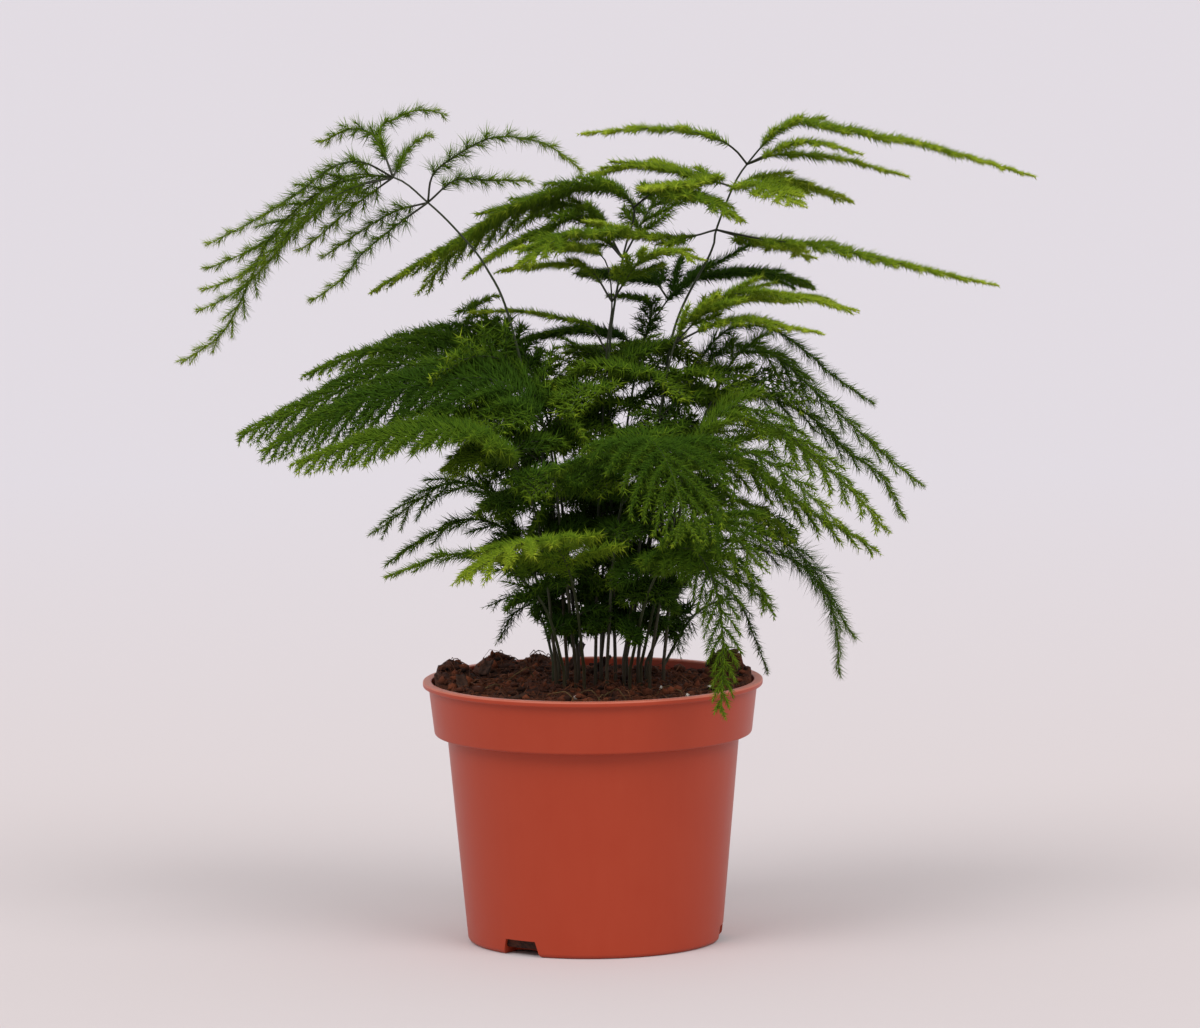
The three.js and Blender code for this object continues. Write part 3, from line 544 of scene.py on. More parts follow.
def spread_draws(random, smallest, largest, count, smallness):
    """Sizes between the smallest and the largest, most of them small."""
    return smallest + (largest - smallest) * random.random(count) ** smallness


def lump_shape():
    """The corners and triangles of an icosahedron of radius 1."""
    made = bmesh.new()
    bmesh.ops.create_icosphere(made, subdivisions=1, radius=1)
    corners = np.array([v.co for v in made.verts])
    triangles = np.array([[v.index for v in f.verts] for f in made.faces])
    made.free()
    return corners, triangles


def peat_crumbs():
    """Knobbly lumps, each stretched and turned; the map holds its tone and its height."""
    random = np.random.default_rng(LITTER_SEED)
    shape, faces = lump_shape()
    places = scatter(random, CRUMB_COUNT)
    sizes = spread_draws(random, *CRUMB_SIZES, CRUMB_COUNT, CRUMB_SMALLNESS)
    stretch = random.uniform(*CRUMB_STRETCH, (CRUMB_COUNT, 1, 3)) * [1, 1, CRUMB_FLATNESS]
    knobs = random.uniform(*CRUMB_KNOBS, (CRUMB_COUNT, len(shape), 1))
    turns = random.uniform(0, 2 * np.pi, CRUMB_COUNT)
    local = shape * knobs * stretch * sizes[:, None, None]
    c, s = np.cos(turns)[:, None], np.sin(turns)[:, None]
    x, y = places[:, :1], places[:, 1:]
    points = np.stack(
        [
            x + local[..., 0] * c - local[..., 1] * s,
            y + local[..., 0] * s + local[..., 1] * c,
            soil_top(x, y) + sizes[:, None] * CRUMB_LIFT + local[..., 2],
        ],
        2,
    )
    feet = points[..., 2].min(1, keepdims=True)
    heights = (points[..., 2] - feet) / (CRUMB_HEIGHT * sizes[:, None])
    triangles = faces + np.arange(CRUMB_COUNT)[:, None, None] * len(shape)
    tones = np.repeat(random.random(CRUMB_COUNT), len(faces) * 3)
    lifts = np.clip(heights.reshape(-1)[triangles.reshape(-1)], *MAP_ENDS)
    return points.reshape(-1, 3), triangles.reshape(-1, 3), np.stack([tones, lifts], 1)


def map_place(finish):
    """Where a spot lies in its piece's map: across it and up it."""
    flat = finish.node("ShaderNodeUVMap", {"uv_map": BAKE_MAP}, output="UV")
    across, up, _ = finish.split(flat)
    return across, up


def crumb_finish():
    """Each crumb has its own tone, and is darker toward its foot."""
    peat = Finish("peat_crumb", Roughness=0.9, Specular_IOR_Level=0.3)
    tone, lift = map_place(peat)
    peat.set(Base_Color=peat.ramp(tone * 0.6 + lift * 0.4, *CRUMB_STOPS))
    peat.bump(peat.noise(scale=1500, detail=4, roughness=0.7), strength=0.8, depth=0.6 * MM)
    return peat.material


def on_root(piece):
    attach(piece, "root")


crumb_points, crumb_triangles, crumb_spots = peat_crumbs()
crumbs = facets("peat_crumbs", crumb_points, crumb_triangles, [crumb_finish()], crumb_spots)
on_root(crumbs)

# Peat fibres. Short brown strands, the undecayed stalks in the peat, lie all over the
# soil, each arched a little and bent to one side.
FIBRE_COUNT = 860
FIBRE_LENGTHS = (3, 13)
FIBRE_SMALLNESS = 2.5
FIBRE_RADIUS = 0.13
FIBRE_STOUTNESS = (0.6, 1.6)
FIBRE_TAPER = (1.2, 3.6)
FIBRE_ARCH = (0.2, 1.3)
FIBRE_LIFT = 0.1
FIBRE_EDGE = 0.96
FIBRE_STEPS = 5
FIBRE_SIDES = 3
FIBRE_STOPS = (
    (0.3, (0.035, 0.010, 0.004)),
    (0.5, (0.12, 0.035, 0.012)),
    (0.72, (0.24, 0.10, 0.045)),
)
STRAND_MAP = (0.05, 0.95)
STEEP = 0.9
END_SPOT = np.array([[0, 0.02], [0.01, 0.02], [0, 0.06]])


def unit(vectors):
    return vectors / np.maximum(np.linalg.norm(vectors, axis=-1, keepdims=True), 1e-9)


def guide_for(along):
    """A direction well off each one in along: the x axis where that is steep, else the z."""
    return np.where(np.abs(along[..., 2:]) > STEEP, [1.0, 0, 0], [0, 0, 1.0])


def frames(along):
    """Two directions square to each step of each line, with no twist from step to step."""
    side = np.cross(guide_for(along[:, 0]), along[:, 0])
    across = np.empty_like(along)
    for step in range(along.shape[1]):
        here = along[:, step]
        side = unit(side - (side * here).sum(-1, keepdims=True) * here)
        across[:, step] = side
    return across, np.cross(along, across)


def tube_triangles(count, rings, sides):
    """Two triangles to each facet of each tube's wall, and a fan across either end."""
    k = np.arange(sides)
    n = (k + 1) % sides
    starts = np.arange(count * rings).reshape(count, rings, 1) * sides
    a, b = starts[:, :-1] + k, starts[:, :-1] + n
    c, d = b + sides, a + sides
    walls = np.stack([a, b, c, a, c, d], -1).reshape(-1, 3)
    fan = np.stack([0 * k[2:], k[1:-1], k[2:]], -1)
    feet = (starts[:, :1] + fan[:, ::-1]).reshape(-1, 3)
    tips = (starts[:, -1:] + fan).reshape(-1, 3)
    return np.vstack([walls, feet, tips])


def tube_spots(count, rings, sides, ends):
    """Each corner's place in the map: across it by the ring, and up it by the side."""
    along, around = np.linspace(*ends, rings), np.linspace(*MAP_ENDS, sides + 1)
    near, left = np.meshgrid(along[:-1], around[:-1], indexing="ij")
    far, right = np.meshgrid(along[1:], around[1:], indexing="ij")
    pairs = ((near, left), (near, right), (far, right), (far, left))
    a, b, c, d = (np.stack(pair, -1) for pair in pairs)
    wall = np.stack([a, b, c, a, c, d], -2).reshape(-1, 3, 2)
    fans = (count * (sides - 2), 3, 2)
    feet = np.broadcast_to(END_SPOT + [ends[0], 0], fans)
    tips = np.broadcast_to(END_SPOT * [-1, 1] + [ends[1], 0], fans)
    return np.vstack([np.tile(wall, (count, 1, 1)), feet, tips])


def tubes(lines, radii, sides, ends):
    """Tapered tubes through rows of points, all with as many points, closed at both ends."""
    count, rings, _ = lines.shape
    across, over = frames(unit(np.gradient(lines, axis=1)))
    turns = 2 * np.pi * np.arange(sides) / sides
    circle = across[:, :, None] * np.cos(turns)[:, None] + over[:, :, None] * np.sin(turns)[:, None]
    points = (lines[:, :, None] + circle * radii[:, :, None, None]).reshape(-1, 3)
    return points, tube_triangles(count, rings, sides), tube_spots(count, rings, sides, ends)


def peat_fibres():
    """The lines and radii of the strands, thickest in their middles."""
    random = np.random.default_rng(LITTER_SEED + 1)
    places = scatter(random, FIBRE_COUNT) * FIBRE_EDGE
    turns = random.uniform(0, 2 * np.pi, FIBRE_COUNT)
    lengths = spread_draws(random, *FIBRE_LENGTHS, FIBRE_COUNT, FIBRE_SMALLNESS)
    share = np.linspace(-0.5, 0.5, FIBRE_STEPS)
    run = share * lengths[:, None]
    hump = (0.25 - share**2) * lengths[:, None]
    bend = hump * random.uniform(-1, 1, (FIBRE_COUNT, 1))
    x = places[:, :1] + run * np.cos(turns)[:, None] - bend * np.sin(turns)[:, None]
    y = places[:, 1:] + run * np.sin(turns)[:, None] + bend * np.cos(turns)[:, None]
    reach = np.minimum(1, LITTER_EDGE / np.maximum(np.hypot(x, y), 1))
    x, y = x * reach, y * reach
    arch = hump * random.uniform(*FIBRE_ARCH, (FIBRE_COUNT, 1))
    lines = np.stack([x, y, soil_top(x, y) + arch + FIBRE_LIFT], 2)
    thickest, taper = FIBRE_TAPER
    stoutness = random.uniform(*FIBRE_STOUTNESS, (FIBRE_COUNT, 1))
    return lines, FIBRE_RADIUS * stoutness * (thickest - share**2 * taper)


def strand_finish(name, stops):
    """A dull strand, mottled along its length."""
    strand = Finish(name, Roughness=0.85, Specular_IOR_Level=0.3)
    tone = strand.noise(scale=160, detail=2) * 0.8 + strand.noise(scale=900, detail=2) * 0.2
    strand.set(Base_Color=strand.ramp(tone, *stops))
    return strand.material


def lay_strands(name, lines, radii, sides, finish):
    points, triangles, spots = tubes(lines, radii, sides, STRAND_MAP)
    strands = facets(name, points, triangles, [finish], spots)
    on_root(strands)
    return strands


lay_strands("peat_fibres", *peat_fibres(), FIBRE_SIDES, strand_finish("peat_fibre", FIBRE_STOPS))

# Bark. A curled flake stands among the stems and others lie about on the peat, in which
# they were mixed: thin, ragged at their edges, and narrower at their ends.
BARK_FLAKES = [
    {"x": -5, "y": 16, "lift": 9.5, "long": 10, "wide": 5, "turn": 20, "pitch": 62},
    {"x": 3, "y": 19, "lift": 5, "long": 9, "wide": 4.5, "turn": -35, "pitch": 40},
    {"x": -38, "y": 24, "lift": 3, "long": 8, "wide": 4, "turn": 70, "pitch": 30},
    {"x": 43, "y": 19, "lift": 1.5, "long": 8, "wide": 4, "turn": -60, "pitch": 48},
    {"x": -26, "y": -31, "lift": 0.8, "long": 7, "wide": 3.5, "turn": 15, "pitch": 12},
    {"x": 27, "y": -36, "lift": 0.8, "long": 6, "wide": 3, "turn": 130, "pitch": 15},
    {"x": -46, "y": -12, "lift": 2, "long": 8, "wide": 4, "turn": 100, "pitch": 28},
]
BARK_GRID = (9, 6)
BARK_THICKNESS = 0.9
BARK_UNEVEN = 0.18
BARK_RAGGED = 0.16
BARK_CURL = 0.35
BARK_BOW = 0.12
BARK_TAPER = 0.5
BARK_STOPS = ((0.3, (0.012, 0.005, 0.003)), (0.7, (0.075, 0.028, 0.014)))
BARK_GRAIN = {"scale": 700, "detail": 4, "roughness": 0.7}
BARK_RELIEF = {"strength": 0.7, "depth": 0.6 * MM}
BARK_SHINE = {"Roughness": 0.8, "Specular_IOR_Level": 0.3}


def bark_flake(flake):
    """A curled sheet, seeded by its place, given a thickness and set at its angle."""
    random = np.random.default_rng(abs(flake["x"] * 7 + flake["y"]) + LITTER_SEED)
    rows, columns = BARK_GRID
    u, v = np.meshgrid(np.linspace(-0.5, 0.5, rows), np.linspace(-0.5, 0.5, columns), indexing="ij")
    ragged = 1 + BARK_RAGGED * random.uniform(-1, 1, u.shape) * (np.abs(u) + np.abs(v))
    curl = BARK_CURL * (v**2 * 4) * flake["wide"] * 0.5 + BARK_BOW * u**2 * flake["long"]
    x, y = u * flake["long"] * ragged, v * flake["wide"] * ragged * (1 - BARK_TAPER * np.abs(u))
    sheets = []
    for side in (0.5, -0.5):
        uneven = random.uniform(-BARK_UNEVEN, BARK_UNEVEN, u.shape)
        sheets.append(np.stack([x, y, curl + side * BARK_THICKNESS + uneven], -1).reshape(-1, 3))
    corner = np.arange(rows * columns).reshape(rows, columns)
    a, b, c, d = corner[:-1, :-1], corner[1:, :-1], corner[1:, 1:], corner[:-1, 1:]
    top = quads(a.ravel(), b.ravel(), c.ravel(), d.ravel())
    under = rows * columns
    rim = np.concatenate([corner[0], corner[1:, -1], corner[-1, -2::-1], corner[-2:0:-1, 0]])
    after = np.roll(rim, -1)
    first = np.stack([rim + under, rim, after], 1)
    second = np.stack([after + under, rim + under, after], 1)
    triangles = np.vstack([top, top[:, ::-1] + under, first, second])
    pitch = Matrix.Rotation(math.radians(-flake["pitch"]), 3, "Y")
    turn = Matrix.Rotation(math.radians(flake["turn"]), 3, "Z") @ pitch
    points = np.vstack(sheets) @ np.array(turn).T
    base = (flake["x"], flake["y"], soil_top(flake["x"], flake["y"]) + flake["lift"])
    return points + base, triangles


def joined(parts):
    """Several lists of corners and triangles as one."""
    starts = np.cumsum([0] + [len(points) for points, _ in parts[:-1]])
    points = np.vstack([points for points, _ in parts])
    return points, np.vstack([triangles + start for (_, triangles), start in zip(parts, starts)])


def grainy_finish(name, stops, grain, relief, **constants):
    """A rough surface, paler and higher where its grain is."""
    rough = Finish(name, **constants)
    height = rough.noise(**grain)
    rough.set(Base_Color=rough.ramp(height, *stops))
    rough.bump(height, **relief)
    return rough.material


bark_finish = grainy_finish("bark", BARK_STOPS, BARK_GRAIN, BARK_RELIEF, **BARK_SHINE)
bark = facets("bark_flakes", *joined([bark_flake(flake) for flake in BARK_FLAKES]), [bark_finish])
on_root(bark)

# Perlite. White grains of puffed volcanic glass, mixed into the peat to keep it open,
# show here and there among the crumbs.
PERLITE_PLACES = [(24, -14), (41, -6), (-6, -34), (33, -30), (-36, -18), (12, 30), (-14, 22)]
PERLITE_RADIUS = 1.1
PERLITE_KNOBS = (0.55, 1.0)
PERLITE_LIFT = 0.9
PERLITE_SEED = 999
PERLITE_STOPS = ((0.35, (0.42, 0.36, 0.30)), (0.6, (0.78, 0.75, 0.70)))
PERLITE_PORES = {"scale": 1800}
PERLITE_RELIEF = {"strength": 0.6, "depth": 0.4 * MM}


def perlite_grain(x, y):
    """One knobbly grain, seeded by its place."""
    shape, faces = lump_shape()
    random = np.random.default_rng(x * 3 + y * 5 + PERLITE_SEED)
    points = shape * random.uniform(*PERLITE_KNOBS, (len(shape), 1)) * PERLITE_RADIUS
    return points + (x, y, soil_top(x, y) + PERLITE_LIFT), faces


perlite_finish = grainy_finish(
    "perlite", PERLITE_STOPS, PERLITE_PORES, PERLITE_RELIEF, Roughness=0.9
)
perlite_grains = joined([perlite_grain(x, y) for x, y in PERLITE_PLACES])
perlite = facets("perlite_grains", *perlite_grains, [perlite_finish])
on_root(perlite)

# Root threads. Pale thin roots of the plant loop out of the peat at the foot of the
# stems and back into it, each bent to one side.
THREADS = [
    {"start": (1, -24), "end": (12, -38), "bend": 2.5, "rise": 3.4},
    {"start": (9, -22), "end": (2, -39), "bend": -2, "rise": 3.0},
    {"start": (-5, -24), "end": (4, -35), "bend": -2, "rise": 4.2},
    {"start": (-17, -26), "end": (-6, -38), "bend": 2, "rise": 2.4},
    {"start": (-31, -8), "end": (-38, -22), "bend": -3, "rise": 2.8},
    {"start": (20, -18), "end": (33, -25), "bend": 2, "rise": 2.6},
    {"start": (-20, 10), "end": (-31, 4), "bend": 3, "rise": 5.0},
]
THREAD_RADIUS = 0.24
THREAD_TAPER = (1.1, 0.6)
THREAD_SUNK = 0.3
THREAD_STEPS = 10
THREAD_SIDES = 6
THREAD_STOPS = ((0.35, (0.075, 0.040, 0.014)), (0.65, (0.22, 0.14, 0.055)))


def root_threads():
    """The threads' lines and radii."""
    share = np.linspace(0, 1, THREAD_STEPS)
    hump = 4 * share * (1 - share)
    lines = []
    for thread in THREADS:
        start, end = np.array(thread["start"], float), np.array(thread["end"], float)
        side = unit(np.array([start[1] - end[1], end[0] - start[0]]))
        flat = start + (end - start) * share[:, None] + side * hump[:, None] * thread["bend"]
        heights = soil_top(*flat.T) - THREAD_SUNK + hump * thread["rise"]
        lines.append(np.column_stack([flat, heights]))
    taper = THREAD_RADIUS * np.linspace(*THREAD_TAPER, THREAD_STEPS)
    return np.array(lines), np.broadcast_to(taper, (len(THREADS), THREAD_STEPS))


thread_finish = strand_finish("root_thread", THREAD_STOPS)
threads = lay_strands("root_threads", *root_threads(), THREAD_SIDES, thread_finish)
threads.data.shade_smooth()

# Stems. Every frond is one wiry, woody stem that rises bare from the soil, red-brown at
# its foot and dark grey-brown above, and may part into arms as wiry. In a frond's map
# the wood's tones run along the last part of it and the needles' tints along the rest.
STEM_FOOT = 62.3
FOOT_STEPS = 5
STEM_RADII = (0.66, 0.17)
STEM_TONES = (0, 0.7)
STEM_SIDES = 7
STEM_STEP = 3
FEWEST_STEPS = 6
ARM_RADII = (0.4, 0.16)
ARM_TONES = (0.5, 0.85)
ROUTE_STEPS = 24
NEARBY = 0.004
WOOD_MAP = (0.82, 0.98)
# The wood's own tones, darkened all through as painted shade for stems that stand in the shade of
# the sprays.
WOOD_STOPS = (
    (0.0, (0.040, 0.020, 0.008)),
    (0.16, (0.030, 0.040, 0.011)),
    (0.32, (0.026, 0.038, 0.012)),
    (0.55, (0.024, 0.025, 0.013)),
    (0.8, (0.045, 0.075, 0.014)),
    (1.0, (0.070, 0.150, 0.016)),
)


class Route:
    """A smooth line through given points, read by how far along it a place is."""

    def __init__(self, knots):
        knots = np.array(knots, float)
        knots = np.vstack([2 * knots[0] - knots[1], knots, 2 * knots[-1] - knots[-2]])
        t = np.linspace(0, 1, ROUTE_STEPS, endpoint=False)[:, None]
        spans = []
        for before, start, end, after in zip(knots, knots[1:], knots[2:], knots[3:]):
            leave, arrive = (end - before) / 2, (after - start) / 2
            from_start = (2 * t**3 - 3 * t**2 + 1) * start + (t**3 - 2 * t**2 + t) * leave
            to_end = (3 * t**2 - 2 * t**3) * end + (t**3 - t**2) * arrive
            spans.append(from_start + to_end)
        self.points = np.vstack([*spans, knots[-2]])
        steps = np.linalg.norm(np.diff(self.points, axis=0), axis=1)
        self.length = steps.sum()
        self.places = np.concatenate([[0], np.cumsum(steps)]) / self.length

    def at(self, places):
        return np.stack([np.interp(places, self.places, line) for line in self.points.T], -1)

    def along(self, places):
        ahead, behind = np.minimum(places + NEARBY, 1), np.maximum(places - NEARBY, 0)
        return unit(self.at(ahead) - self.at(behind))

    def heading(self):
        """The way it goes from end to end, on the level."""
        return unit((self.at(1) - self.at(0)) * [1, 1, 0])

    def place_at_height(self, height):
        rising = self.points[: self.points[:, 2].argmax() + 1, 2]
        return np.interp(height, rising, self.places[: len(rising)])

    def pieces(self, start, count):
        """The line from a place on it to its end, as so many curves of three points."""
        places = np.linspace(start, 1, count + 1)
        first, last = self.at(places[:-1]), self.at(places[1:])
        middle = 2 * self.at((places[:-1] + places[1:]) / 2) - (first + last) / 2
        return np.stack([first, middle, last], 1)


def share_of(ends, share):
    """The value so far on from the first of two ends to the second."""
    low, high = ends
    return low + (high - low) * share


def grow_stem(route, radii, tones, foot=None):
    """A stem or an arm, tapered all its way; a stem has a straight foot in the soil."""
    line = route.at(np.linspace(0, 1, max(FEWEST_STEPS, round(route.length / STEM_STEP))))
    if foot is not None:
        x, y, top = line[0]
        below = [(x, y, z) for z in np.linspace(foot, top, FOOT_STEPS)[:-1]]
        line = np.vstack([below, line])
    sizes = np.linspace(1, 0, len(line)) * (radii[0] - radii[1]) + radii[1]
    ends = [share_of(WOOD_MAP, tone) for tone in tones]
    return tubes(line[None], sizes[None], STEM_SIDES, ends)


def wood_finish():
    """Wiry wood: red-brown at the soil, dark grey-brown above, and green in the twigs."""
    wood = Finish("wiry_stem", Roughness=0.55, Specular_IOR_Level=0.4)
    across, _ = map_place(wood)
    wood.set(Base_Color=wood.ramp(share_between(across, *WOOD_MAP), *WOOD_STOPS))
    return wood.material


# Side shoots and twigs. The leafy part of a stem or an arm bears thin side shoots by
# turns to left and right, all in one flat plane that the frond's roll tips over. These
# bear twigs in the same way, and every one grows forward along what bears it and sags.
AXIS_STEP = 18
FEWEST_AXIS_STEPS = 3
SHOOT_RADII = (0.22, 0.08)
SHOOT_TONES = (0.45, 0.9)
SHOOT_SIDES = 3
SHOOT_RINGS = 4
SHOOT_SPREAD = (0.98, 0.6)
SHOOT_TILT = 0.15
SHOOT_UNEVEN = 0.15
SHORTEST_SHOOT = 2.5
SHARE_AT_START = 0.6
SHARE_RISE = 3
SHARE_FALL = 0.7
TO_MIDDLE = 0.5
TO_TIP = 0.4
TIP_FORWARD = 0.15
TWIG_RADIUS = 0.13
TWIG_TONE = 0.9
TWIG_GAP = 2.6
TWIG_FIRST = 0.75
TWIG_ROOM = 0.4
TWIG_SHARE = 0.5
TWIG_UNEVEN = (0.75, 1.25)
TWIG_SPREAD = 0.48
TWIG_TILT = 0.35
TWIG_DROP = 0.12
LONGEST_TWIG = 4.5
SHORTEST_TWIG = 1.4
SPIKE_SPOT = np.array([[-0.004, 0], [0.004, 0], [0, 0.2]])
SPIKE_UP_MAP = 0.4
YOUNGEST_TINT = 0.72
TIP_PALER = 0.3
TINT_UNEVEN = 0.05
TILT_DRAW = 5
TINT_DRAW = 9


def wobble(seed, index):
    """A fixed draw between -1 and 1 for each pair of numbers."""
    return 2 * drawn(seed, index) - 1


def left_and_right(order):
    """1 and -1 by turns."""
    return np.where(order % 2, 1, -1)[:, None]


def numbered(counts):
    """For rows of so many things each: the row that each is in, and its number there."""
    owner = np.repeat(np.arange(len(counts)), counts)
    return owner, np.arange(len(owner)) - np.repeat(np.cumsum(counts) - counts, counts)


def length_share(place):
    """How long a shoot is for its place: longest soon after the first, then shorter."""
    return np.minimum(1, SHARE_AT_START + SHARE_RISE * place) * (1 - place) ** SHARE_FALL


def bent(roots, along, across, lengths, spread, droop):
    """Shoots as curves of three points, each turning forward along its axis and sagging."""
    lengths = lengths[:, None]
    spread = np.broadcast_to(spread, len(roots))[:, None]
    direction = unit(along * np.cos(spread) + across * np.sin(spread))
    middle = roots + direction * lengths * TO_MIDDLE
    tips = middle + direction * lengths * TO_TIP + along * lengths * TIP_FORWARD
    tips[:, 2] -= lengths[:, 0] * droop
    return np.stack([roots, middle, tips], 1)


def on_curves(curves, places):
    """The points at places on curves of three points, and the way each curve runs there."""
    t = places[..., None]
    start, middle, end = curves[:, 0], curves[:, 1], curves[:, 2]
    return curve_at(start, middle, end, t), unit((1 - t) * (middle - start) + t * (end - middle))


def square_to(along):
    across = unit(np.cross(guide_for(along), along))
    return across, np.cross(along, across)


def grow_shoots(axis, frond, seed):
    """An axis's side shoots, and the directions square to the plane that they lie in."""
    route, bare = axis["route"], axis["bare"]
    steps = max(FEWEST_AXIS_STEPS, round(route.length * (1 - bare) / AXIS_STEP))
    numbers = np.arange(steps * frond["shoots"])
    order = numbers - (frond["shoots"] - 1) / 2
    beat = order / frond["shoots"]
    place = (numbers + 0.5) / len(numbers)
    roots = route.at(bare + (1 - bare) * place)
    along = route.along(bare + (1 - bare) * place)
    heading = route.heading()
    roll = math.radians(frond["roll"]) * (1 if heading[0] < 0 else -1)
    flat = np.array([-heading[1], heading[0], 0]) * left_and_right(numbers)
    across = flat * math.cos(roll) + unit(np.cross(along, flat)) * math.sin(roll)
    normals = unit(np.cross(along, across))
    across[:, 2] += SHOOT_TILT * wobble(seed + TILT_DRAW, beat)
    uneven = 1 + SHOOT_UNEVEN * wobble(seed, beat)
    lengths = axis["reach"] * length_share(place) * uneven + SHORTEST_SHOOT
    spread = share_of(SHOOT_SPREAD, place)
    tint = YOUNGEST_TINT * (1 - axis["age"])
    shoots = {
        "place": place,
        "lengths": lengths,
        "curves": bent(roots, along, across, lengths, spread, frond["droop"]),
        "tints": tint + TIP_PALER * place**2 + TINT_UNEVEN * wobble(seed + TINT_DRAW, order),
    }
    return shoots, normals


def grow_twigs(shoots, normals, droop, twiggy, random):
    """The twigs on side shoots, by turns to either side and tilted a little at random."""
    counts = np.round(shoots["lengths"] / TWIG_GAP).astype(int) * twiggy
    owner, number = numbered(counts)
    place = (number + TWIG_FIRST) / (counts[owner] + TWIG_ROOM)
    roots, along = on_curves(shoots["curves"][owner], place)
    side = unit(np.cross(normals[owner], along)) * left_and_right(number)
    side[:, 2] += TWIG_TILT * random.uniform(-1, 1, len(owner)) - TWIG_DROP
    longest = np.minimum(shoots["lengths"][owner] * TWIG_SHARE, LONGEST_TWIG)
    uneven = random.uniform(*TWIG_UNEVEN, len(owner))
    lengths = longest * length_share(place) * uneven + SHORTEST_TWIG
    paler = TIP_PALER * place**3 + random.normal(0, TINT_UNEVEN, len(owner))
    return {
        "place": shoots["place"][owner],
        "lengths": lengths,
        "curves": bent(roots, along, side, lengths, TWIG_SPREAD, droop),
        "tints": shoots["tints"][owner] + paler,
    }


def shoot_tubes(curves):
    """Thin tapered tubes, greener toward their tips."""
    places = np.linspace(0, 1, SHOOT_RINGS)
    lines = np.stack([on_curves(curves, np.full(len(curves), p))[0] for p in places], 1)
    sizes = np.broadcast_to(np.linspace(*SHOOT_RADII, SHOOT_RINGS), lines.shape[:2])
    ends = [share_of(WOOD_MAP, tone) for tone in SHOOT_TONES]
    return tubes(lines, sizes, SHOOT_SIDES, ends)


def twig_spikes(curves):
    """The twigs as straight splinters, each from the first point of its curve to its last."""
    roots, along = on_curves(curves, np.zeros(len(curves)))
    across, over = square_to(along)
    turns = 2 * np.pi * np.arange(3)[:, None] / 3
    ring = across[:, None] * np.cos(turns) + over[:, None] * np.sin(turns)
    corners = np.concatenate([roots[:, None] + ring * TWIG_RADIUS, curves[:, 2:]], 1)
    faces = np.array([[0, 2, 1], [0, 1, 3], [1, 2, 3], [2, 0, 3]])
    triangles = faces + 4 * np.arange(len(roots))[:, None, None]
    spot = SPIKE_SPOT + [share_of(WOOD_MAP, TWIG_TONE), SPIKE_UP_MAP]
    spots = np.broadcast_to(spot, (len(roots) * 4, 3, 2))
    return corners.reshape(-1, 3), triangles.reshape(-1, 3), spots


# Needles. All shoots and twigs bear tufts of soft needle-like leaflets, which are the
# green of the plant. Each tuft is two pairs of needles, set crosswise, that lean out from
# the twig and less so at its tip, where they are shorter and paler too.
TUFT_PAIRS = 2
TUFT_TURN = 2.4
TUFT_UNEVEN = 0.5
TUFT_START = 0.3
TUFT_REACH = 0.6
FINE_TUFTS = {"gap": 0.66, "twig_gap": 1.15, "length": 3.6, "width": 0.5, "lean": 0.9}
NEEDLE_LEANS = (0.7, 1.2)
NEEDLE_LENGTHS = (0.6, 1.1)
TIP_LEAN = 0.5
TIP_SHORTER = 0.45
TIP_FINENESS = 0.55
NEEDLE_PALER = 0.1
NEEDLE_MAP = (0.02, 0.76)
NEEDLE_SPOT = np.array([[-0.006, 0.02], [0.006, 0.02], [0, 0.98]])
NEEDLE_TIP_PALER = 0.08
NEEDLE_STOPS = (
    (0.0, (0.018, 0.050, 0.004)),
    (0.3, (0.046, 0.102, 0.005)),
    (0.6, (0.130, 0.215, 0.010)),
    (0.85, (0.290, 0.385, 0.020)),
    (1.0, (0.425, 0.520, 0.045)),
)


def needle_pairs(roots, along, first, second, tints, width):
    """Two needles to each root, one to either side of the twig, as one closed splinter."""
    across = unit(np.cross(first - second, along))
    turns = 2 * np.pi * np.arange(3)[:, None] / 3
    ring = along[:, None] * np.cos(turns) + across[:, None] * np.sin(turns)
    base = roots[:, None] + ring * width / 2
    corners = np.concatenate([base, first[:, None], second[:, None]], 1)
    faces = np.array([[0, 1, 3], [1, 2, 3], [2, 0, 3], [1, 0, 4], [2, 1, 4], [0, 2, 4]])
    triangles = faces + 5 * np.arange(len(roots))[:, None, None]
    tone = np.stack([share_of(NEEDLE_MAP, tints), 0 * tints], 1)
    spots = np.broadcast_to(tone[:, None, None] + NEEDLE_SPOT, (len(roots), 6, 3, 2))
    return corners.reshape(-1, 3), triangles.reshape(-1, 3), spots.reshape(-1, 3, 2)


def needles(growth, gap, tufts, random):
    """Tufts of needles along all the curves of a growth: its twigs, shoots or own axis."""
    counts = np.maximum(1, np.round(growth["lengths"] / gap)).astype(int)
    owner, order = numbered(counts * TUFT_PAIRS)
    tuft, member = order // TUFT_PAIRS, order % TUFT_PAIRS
    count = len(owner)
    place = (tuft + TUFT_START + TUFT_REACH * random.random(count)) / counts[owner]
    roots, along = on_curves(growth["curves"][owner], place)
    across, over = square_to(along)
    turn = member * np.pi / TUFT_PAIRS + TUFT_TURN * tuft
    turn = turn + random.uniform(-TUFT_UNEVEN, TUFT_UNEVEN, count)
    out = across * np.cos(turn)[:, None] + over * np.sin(turn)[:, None]
    fineness = 1 - TIP_FINENESS * growth["place"] ** 2
    tips = []
    for side in (1, -1):
        lean = tufts["lean"] * (1 - TIP_LEAN * place**3) * random.uniform(*NEEDLE_LEANS, count)
        length = tufts["length"] * random.uniform(*NEEDLE_LENGTHS, count)
        length = length * (1 - TIP_SHORTER * place**5) * fineness[owner]
        way = along * np.cos(lean)[:, None] + out * side * np.sin(lean)[:, None]
        tips.append(roots + way * length[:, None])
    tint = growth["tints"][owner] + NEEDLE_PALER * place + random.normal(0, TINT_UNEVEN, count)
    return needle_pairs(roots, along, *tips, np.clip(tint, 0, 1), tufts["width"])


